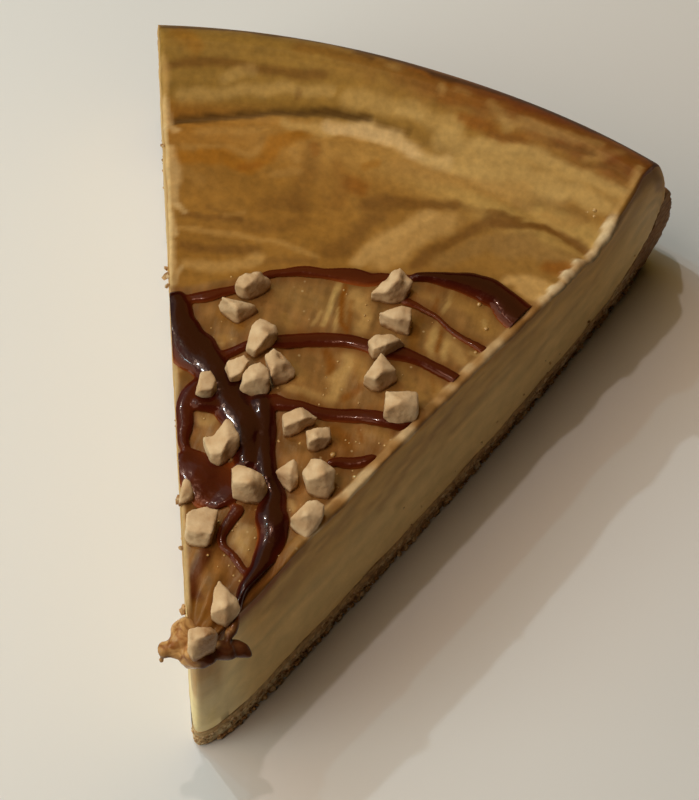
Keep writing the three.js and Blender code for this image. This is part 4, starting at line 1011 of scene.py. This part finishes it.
# Toffee lumps
# Broken baked toffee dusted with flour: chalky beige, with worn edges. Each is the hull of its
# corners (place from the cake's centre, height over the skin), worn round on a fine grid.
TOFFEE_LUMPS = {
    "01": [[(-14.7, 60.2, 3), (-14.3, 61.6, 3.2), (-13.4, 62.7, 3.6), (-11.3, 63.6, 3.6),
            (-12.9, 59.7, 3.2), (-12, 60.9, 4), (-9.4, 63.4, 1.2), (-10.2, 63.6, 2.4), (-13.3, 59.6, 0.3),
            (-12, 59.9, 0.1), (-10.5, 61.3, 0.1), (-14.2, 59.9, 0.8)]],
    "02": [[(-15.6, 57.3, 3), (-13.1, 56.7, 3.4), (-12.1, 57.8, 2.6), (-10.4, 58.6, 1.6),
            (-12.7, 55.8, 3.3), (-16.1, 56.8, 1.2), (-15.5, 56.1, 0.6), (-12.9, 55.1, 0.2),
            (-12.1, 55.2, 0.3), (-9.8, 58.5, 0.5), (-10.7, 57.2, 0.1)]],
    "03": [[(-9.6, 53.9, 3.4), (-8.8, 55.5, 3.4), (-6.3, 55.2, 3.2), (-5.4, 54.5, 2.4), (-6.6, 52.6, 3.8),
            (-7.7, 50, 2.6), (-9.1, 50.3, 2.2), (-5.8, 53.3, 0.4), (-7.1, 51.4, 0.3), (-8.1, 50.1, 0.2),
            (-9.5, 50.5, 1)]],
    "04": [[(-11.3, 46.9, 2.8), (-9, 48.6, 3.4), (-7.8, 47.9, 3.6), (-8.4, 45.6, 3.2), (-9.8, 44.5, 2.6),
            (-11, 46.2, 2), (-9.8, 44.9, 0.3), (-8.7, 45.4, 0.3), (-11.5, 46.5, 1.4)]],
    "05": [[(-8.2, 45.4, 3.4), (-7.5, 47, 4), (-6.2, 47.9, 4.2), (-4.6, 47.4, 3.8), (-4, 46, 3),
            (-6, 45, 4), (-7.6, 44, 2.8), (-8.2, 44, 0.8), (-6.9, 43.5, 0.2), (-4.3, 44.3, 0.2),
            (-3.7, 45.3, 0.6)]],
    "06": [[(-6.1, 49.5, 3.4), (-5.2, 51, 3.4), (-3.8, 51, 3.2), (-2.4, 49.7, 3), (-4, 47.9, 3.8),
            (-4, 46.6, 3), (-1.1, 49.7, 1.2), (-1, 48.7, 0.6), (-1.8, 47.6, 0.2), (-3.5, 46.5, 0.2)]],
    "07": [[(-14.2, 43.7, 3.2), (-12.8, 44.4, 3.2), (-11.7, 43.4, 3), (-11.5, 41.5, 3), (-13.2, 40.6, 3),
            (-14, 41.9, 3.2), (-14.1, 40.7, 0.8), (-12.8, 40.8, 0.2), (-11.6, 41.3, 0.2),
            (-11.1, 42.7, 0.6)]],
    "08": [[(-7.9, 37.1, 3.6), (-7.1, 37.3, 3.4), (-5.2, 35.4, 3.2), (-4.7, 34.5, 2.4), (-6.3, 33.5, 4),
            (-8.8, 34.5, 3), (-5.3, 32.9, 0.3), (-6.6, 31.7, 0.2)],
           [(-10.5, 33.8, 2.6), (-8.9, 34.1, 3), (-6.3, 33.6, 3.8), (-6.6, 31.8, 3.2), (-8.3, 31.1, 2.4),
            (-8.1, 30.9, 0.4), (-6.7, 30.6, 0.2), (-5.8, 32, 0.2), (-9.6, 32.6, 1.2)]],
    "09": [[(-4.5, 29.7, 3.4), (-3.7, 30.5, 3.6), (-1.4, 30.2, 4.2), (0.4, 30.1, 3.6), (1.2, 29.1, 3),
            (-0.9, 27.5, 4.6), (-3.4, 27.4, 3.6), (-3.1, 26.2, 0.5), (-1, 26.3, 0.2), (0.9, 26.8, 0.1),
            (1.5, 28.4, 0.3), (1.4, 29.5, 0.8)]],
    "10": [[(-10.6, 26.2, 2.8), (-9.6, 26.1, 2.8), (-8.8, 24.9, 2.6), (-10, 24.1, 3), (-8.6, 23.9, 2),
            (-8.3, 24.5, 0.4), (-9.6, 23.4, 0.3), (-10.3, 22.5, 0.2), (-10.7, 24.7, 1.2)]],
    "11": [[(-8.1, 20.4, 3.6), (-7.5, 21.4, 3.6), (-5.8, 22.4, 3.6), (-3.9, 22.7, 3.4), (-3.6, 20.1, 3.4),
            (-3.5, 18.5, 3.2), (-7.3, 17.9, 3.2), (-7.6, 17.7, 1), (-6.6, 17.1, 0.2), (-4.1, 17.4, 0.2),
            (-3.5, 18.3, 0.5)]],
    "12": [[(5.5, 66.2, 2.2), (6.7, 68.6, 3), (7.7, 70.9, 3.8), (8.6, 71.5, 4), (8.9, 68.9, 4.2),
            (11.1, 70.5, 2.6), (7.6, 66.6, 3), (5.4, 66.2, 0.3), (7.6, 66.5, 0.1), (9.4, 67, 0.1),
            (10.6, 67.9, 0.3), (10.9, 69.3, 0.8)]],
    "13": [[(7.7, 63, 2.6), (9.2, 64.2, 3.2), (10.9, 65.3, 3.6), (12.3, 65.5, 3.4), (12.9, 63.3, 3.2),
            (10.5, 62.5, 3.6), (8.2, 62.5, 0.6), (10.7, 62.1, 0.3), (13.1, 62.1, 0.2), (13, 63.3, 0.6)]],
    "14": [[(7.8, 57.5, 2.8), (8.7, 58.8, 3.2), (10.6, 59.6, 3.4), (12.5, 59.4, 3), (11, 57.3, 3.8),
            (9.2, 56, 3.2), (13.2, 60, 0.8), (12, 58.4, 0.3), (9.1, 55.9, 0.3), (8, 56.9, 0.8),
            (10.8, 56.7, 0.2)]],
    "15": [[(10.4, 55.9, 3.2), (10.1, 54, 3.4), (9.2, 51.4, 2.8), (11.4, 55.2, 3.2), (13.4, 54.2, 2.8),
            (11.7, 52.2, 4.2), (11, 51, 3.6), (9, 51.2, 0.6), (10.8, 50.7, 0.2), (12.1, 51, 0.2),
            (13.3, 52.9, 0.3), (14, 53.7, 0.6)]],
    "16": [[(13.2, 49.5, 3.6), (15.5, 50.5, 3.6), (17.7, 51.4, 3.4), (18.6, 48.6, 3.2), (16.3, 48.2, 4.4),
            (14.1, 46.4, 3.4), (13.9, 46.3, 0.8), (14.9, 45.9, 0.2), (16.9, 46.4, 0.1), (18.6, 47.7, 0.2),
            (18.8, 48.9, 0.8)]],
    "17": [[(-0.4, 41.1, 2.8), (1, 42.2, 3.2), (2.1, 43.1, 3.2), (4.8, 42.6, 2), (3.1, 41, 3.6),
            (0.6, 39.1, 2.8), (0.6, 38.7, 0.3), (1.8, 39.1, 0.2), (3.3, 41.2, 0.2), (4.6, 42.8, 0.6)]],
    "18": [[(3.8, 39.6, 2.6), (5.5, 40.5, 3), (7.1, 41.5, 2.6), (7.8, 39.9, 2.4), (5.8, 38.5, 3.2),
            (4.9, 37.7, 2.4), (4.9, 37.7, 0.3), (6.1, 37.9, 0.1), (7.2, 38.8, 0.2), (7.9, 40.3, 0.6)]],
    "19": [[(1.6, 32.1, 1.8), (2.8, 33.1, 3), (3.8, 34.3, 3.4), (4.6, 33.9, 3), (4.1, 31.6, 3.6),
            (5.3, 31.9, 2.4), (3.3, 30.8, 0.3), (4.6, 30.2, 0.2), (5.4, 31.6, 0.4)]],
    "20": [[(5.6, 32.6, 3.2), (6.3, 34.8, 4), (7.7, 35.2, 4.2), (10.3, 34.5, 3.6), (9.1, 32.4, 4.8),
            (6.8, 31.1, 3.6), (10.4, 32.8, 3.2), (7.2, 30.8, 0.4), (8.7, 30.5, 0.2), (10.4, 30.9, 0.1),
            (10.8, 32.3, 0.4)]],
    "21": [[(6.2, 25.2, 2.4), (7.2, 26.1, 2.8), (8, 28.4, 3.2), (9.3, 29, 3.2), (10.5, 28.8, 3),
            (10.7, 27, 2.6), (8.5, 25.9, 3.4), (6.5, 24.8, 0.3), (8.5, 23.8, 0.1), (9.5, 23.6, 0.1),
            (10.3, 25.5, 0.3), (10.8, 27.6, 0.8)]],
    "22": [[(-0.2, 12.1, 2.8), (-0.4, 10.6, 3), (0, 8.7, 3), (0.4, 6.6, 2.6), (1.4, 10.8, 3.4),
            (3.4, 10.1, 2.8), (2.4, 7.9, 4), (4.1, 9.2, 2), (0.6, 6.8, 0.6), (3, 6.2, 0.2), (3.6, 7.5, 0.4),
            (4.1, 9.2, 0.6)]],
    "23": [[(-1.5, 2.5, 4.6), (-0.3, 3.3, 5), (1.7, 3.8, 5), (2.8, 3.3, 4.4), (1.5, 1.9, 5.6),
            (-0.5, 0.7, 4.8), (-0.9, 0.3, 2), (0.1, -0.3, 1.6), (1.7, 1.1, 1.5), (2.8, 2.5, 1.7)]],
}
# Cracks and hollows: place, height over the skin, half width and depth
TOFFEE_DENTS = [
    (-14.5, 60.3, 3.3, 0.5, 0.4), (-13, 62.8, 3.5, 0.5, 0.4), (-11.2, 63.3, 2.5, 0.5, 0.4),
    (9.9, 70, 3.4, 0.7, 0.5), (8.4, 24.9, 3, 0.6, 0.6), (-4.5, 17.8, 3.4, 0.5, 0.4),
    (-0.5, 1, 4.8, 0.5, 0.5), (-3.7, 50.3, 3.2, 0.5, 0.5)]
TOFFEE_STEP = 0.24    # grid on which the lumps are worn
SINK = 0.8            # how deep they sit in the skin
FOOT_TAPER = 0.85     # and how much of their width is left there
PIT_SPACING = 1.7
SYRUP_CLIMB = 0.55    # how far the syrup has climbed up their sides
SMEARED_LUMP = "23"   # the lump on the point, with caramel up its right side

toffee_material, tree, surface = new_material("floured_toffee")
# Sugar and butter boiled hard and broken: dry and chalky outside, stained by syrup at the foot, with painted
# shade in its pits, cracks and hollows.
# The flour is finer than a pixel, so its grain is drawn 0.35 mm wide.
TOFFEE_CLOUD = 2.5 * MM
FLOUR_GRAIN = 0.35 * MM
place = add(tree, "TexCoord").outputs["Object"]
pit_shaded = add(tree, "Attribute", attribute_name="pit_shade").outputs["Fac"]
syrupy = add(tree, "Attribute", attribute_name="syrup").outputs["Fac"]
cloud = add(tree, "TexNoise", {"Vector": place, "Scale": 1 / TOFFEE_CLOUD, "Detail": 4}).outputs["Fac"]
dust = add(tree, "TexNoise", {"Vector": place, "Scale": 1 / FLOUR_GRAIN, "Detail": 4}).outputs["Fac"]
cloud = add(tree, "MapRange", {"Value": cloud, "From Min": 0.35, "From Max": 0.65}).outputs[0]
beige = add(tree, "Mix", {0: cloud, 6: colour("#c7a276"), 7: colour("#dcbd92")}, data_type="RGBA")
# Painted shade: pits, cracks and hollows are darkened
stained = tinted(tree, beige.outputs[2], pit_shaded, "#8d6238", 0.8)
stained = tinted(tree, stained, syrupy, "#8a5826", 0.9, dust)
tree.links.new(stained, surface.inputs["Base Color"])
bump = add(tree, "Bump", {"Height": dust, "Strength": 0.4, "Distance": 0.12 * MM})
tree.links.new(bump.outputs[0], surface.inputs["Normal"])
dull = add(tree, "MapRange", {"Value": syrupy, "To Min": 0.8, "To Max": 0.3}).outputs[0]
tree.links.new(dull, surface.inputs["Roughness"])
surface.inputs["Specular IOR Level"].default_value = 0.25


def broken_lump(hulls):
    """A bmesh with the hull of each set of corners, and of a narrower foot under the skin."""
    lump = bmesh.new()
    for corners in hulls:
        middle = np.mean(corners, axis=0)
        verts = [lump.verts.new((x, y, float(height_at(x, y)) + up)) for x, y, up in corners]
        for x, y, up in corners:
            foot_x = middle[0] + FOOT_TAPER * (x - middle[0])
            foot_y = middle[1] + FOOT_TAPER * (y - middle[1])
            verts.append(lump.verts.new((foot_x, foot_y, float(height_at(foot_x, foot_y)) - SINK)))
        hull = bmesh.ops.convex_hull(lump, input=verts)
        spare = {g for g in hull["geom_interior"] + hull["geom_unused"] if isinstance(g, bmesh.types.BMVert)}
        bmesh.ops.delete(lump, geom=list(spare), context="VERTS")
    bmesh.ops.recalc_face_normals(lump, faces=lump.faces)
    return lump


for number, hulls in TOFFEE_LUMPS.items():
    lump = broken_lump(hulls)
    chunk = finished("toffee_lump_" + number, lump, places_of(lump))
    lump = melted(chunk, TOFFEE_STEP, rounds=2)
    spots = places_of(lump) / MM - CAKE_CENTRE
    pits = np.clip(noise_at(spots, PIT_SPACING, 53) - 0.33, 0, 1) * 1.5
    dents = 0 * pits
    for x, y, up, width, fall in TOFFEE_DENTS:
        centre = [x, y, float(height_at(x, y)) + up]
        dents += fall * bell(np.linalg.norm(spots - centre, axis=1), width)
    rough = 0.12 * noise_at(spots, 1.4, 55) + 0.05 * noise_at(spots, 0.5, 57) - 0.2 * pits - dents
    normals = np.array([v.normal[:] for v in lump.verts])
    fill(chunk, lump, spots + normals * rough[:, None])
    foot = spots[:, 2] - height_at(spots[:, 0], spots[:, 1])
    syrup = smooth(1.6 * SYRUP_CLIMB, 0.4 * SYRUP_CLIMB, foot + 0.4 * noise_at(spots, 1.5, 59))
    if number == SMEARED_LUMP:
        syrup = np.maximum(syrup, 0.75 * smooth(0.3, 1.2, spots[:, 0] + 0.6 * noise_at(spots, 1.2, 61)))
    # pit_shade: the pits and dents, for painted shade in them
    store(chunk, "pit_shade", np.clip(pits + 0.8 * dents, 0, 1))
    store(chunk, "syrup", syrup)
    chunk.data.materials.append(toffee_material)
    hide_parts("toffee_piece_" + number)
    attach(chunk, "root")

# Loose crumbs
# Biscuit crumbs that the knife dragged onto the cuts: small rough grains of twenty faces, half
# sunk in the faces or stuck proud of them. They are spread at random, from one seed.
CRUMB_SEED = 31
CUT_REACH = (3, 113)        # radii between which crumbs stick
FOOT_REACH = (3, 112)
RIGHT_CRUMBS = 700          # over the crumb layer of the right cut,
FOOT_CRUMBS = 260           # along the foot of that cut,
LEFT_CRUMBS = 80            # over the crumb layer of the left cut,
DRAGGED_CRUMBS = 25         # above it on either cut,
POINT_CRUMBS = 70           # and round the point
EDGE_CRUMBS = [             # on the top edge of the left cut: radius, height and size
    (8.4, 34, 0.75), (9.3, 33.4, 0.5), (26, 35, 0.55), (27, 34.6, 0.4), (18.5, 34.6, 0.4),
    (65.5, 34.2, 0.7), (67, 34, 0.6), (63.8, 34.2, 0.5), (90, 33.6, 0.4)]
draw = np.random.default_rng(CRUMB_SEED)
crumbs = bmesh.new()


def crumb_on_cut(radius, side, height, size, proud=0.0):
    """One crumb, moved out of the cut by proud times its size."""
    spot = on_wedge(np.array(radius), np.array(float(side)), np.array(height))
    spot = spot + proud * size * (right_cut if side > 0 else left_cut)
    sized = Matrix.Diagonal((*(draw.uniform(0.6, 1.2, 3) * size), 1))
    turned = Matrix.Rotation(draw.uniform(0, 6.28), 4, Vector(draw.normal(size=3)).normalized())
    made = bmesh.ops.create_icosphere(crumbs, subdivisions=1, radius=1,
                                      matrix=Matrix.Translation(spot) @ turned @ sized)
    for vert in made["verts"]:
        vert.co += Vector(draw.normal(size=3)) * 0.12 * size


for _ in range(RIGHT_CRUMBS):
    crumb_on_cut(draw.uniform(*CUT_REACH), 1, draw.uniform(0.3, 3.8), draw.uniform(0.2, 0.5), -0.4)
for _ in range(FOOT_CRUMBS):
    size = draw.uniform(0.3, 0.55)
    crumb_on_cut(draw.uniform(*FOOT_REACH), 1, 1.15 * size, size, 0.3)
for _ in range(LEFT_CRUMBS):
    crumb_on_cut(draw.uniform(*CUT_REACH), -1, draw.uniform(0.3, 5.3), draw.uniform(0.2, 0.45), -1)
for _ in range(DRAGGED_CRUMBS):
    crumb_on_cut(draw.uniform(24, 110), draw.choice([-1, 1]),
                 CRUST_THICKNESS + 0.1 + draw.exponential(2.5), draw.uniform(0.15, 0.35))
for _ in range(POINT_CRUMBS):
    crumb_on_cut(TIP_RADIUS, draw.uniform(-1, 1), draw.uniform(0.5, 3.2), draw.uniform(0.3, 0.55), -0.5)
for radius, height, size in EDGE_CRUMBS:
    crumb_on_cut(radius, -1, height, size, 0.5)
bmesh.ops.recalc_face_normals(crumbs, faces=crumbs.faces)
stuck_crumbs = finished("stuck_crumbs", crumbs, places_of(crumbs), rounded=False)
stuck_crumbs.data.materials.append(crumb_material)
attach(stuck_crumbs, "root")

# Floor and light
# A plain pale sheet. Broad soft lights stand on the left and behind, and three small lamps high
# up on the left and behind give crisp shadows to the right and towards the viewer. All in metres.
FLOOR_SIDE = 1.5
FLOOR_GAP = 0.0001
LAMPS = [
    # name, place, width, watts, colour
    ("wide_left", (-0.275, -0.207, 0.491), 0.5, 1.900, "#ffe6cf"),
    ("wide_behind_left", (-0.37, 0.157, 0.446), 0.5, 0.550, "#a2e4ff"),
    ("wide_behind", (-0.042, 0.342, 0.491), 0.5, 0.465, "#ffcc6c"),
    ("low_left", (-0.418, -0.315, 0.17), 0.3, 0.755, "#ddfdff"),
    ("small_left", (-0.325, 0.18, 0.594), 0.015, 0.650, "#e8f8ff"),
    ("small_between", (-0.264, 0.071, 0.644), 0.015, 0.210, "#c7f4ff"),
    ("small_overhead", (-0.109, 0.077, 0.687), 0.015, 0.505, "#ffefe9"),
]
sheet = bmesh.new()
bmesh.ops.create_grid(sheet, x_segments=1, y_segments=1, size=FLOOR_SIDE)
floor = bpy.data.objects.new("floor", bpy.data.meshes.new("floor"))
sheet.to_mesh(floor.data)
sheet.free()
floor.location.z = -FLOOR_GAP
bpy.context.collection.objects.link(floor)
floor_material, tree, surface = new_material("pale_paper")
# Plain matt paper, nearly white
surface.inputs["Base Color"].default_value = colour("#e7e6e2")
surface.inputs["Roughness"].default_value = 0.7
floor.data.materials.append(floor_material)

for name, spot, size, watts, code in LAMPS:
    lamp_data = bpy.data.lights.new(name, "AREA")
    lamp_data.shape = "DISK"
    lamp_data.size = size
    lamp_data.energy = watts
    lamp_data.color = colour(code)[:3]
    lamp = bpy.data.objects.new(name, lamp_data)
    lamp.location = spot
    lamp.rotation_euler = (-Vector(spot)).to_track_quat("-Z", "Y").to_euler()
    bpy.context.collection.objects.link(lamp)
bpy.context.scene.view_settings.view_transform = "Standard"
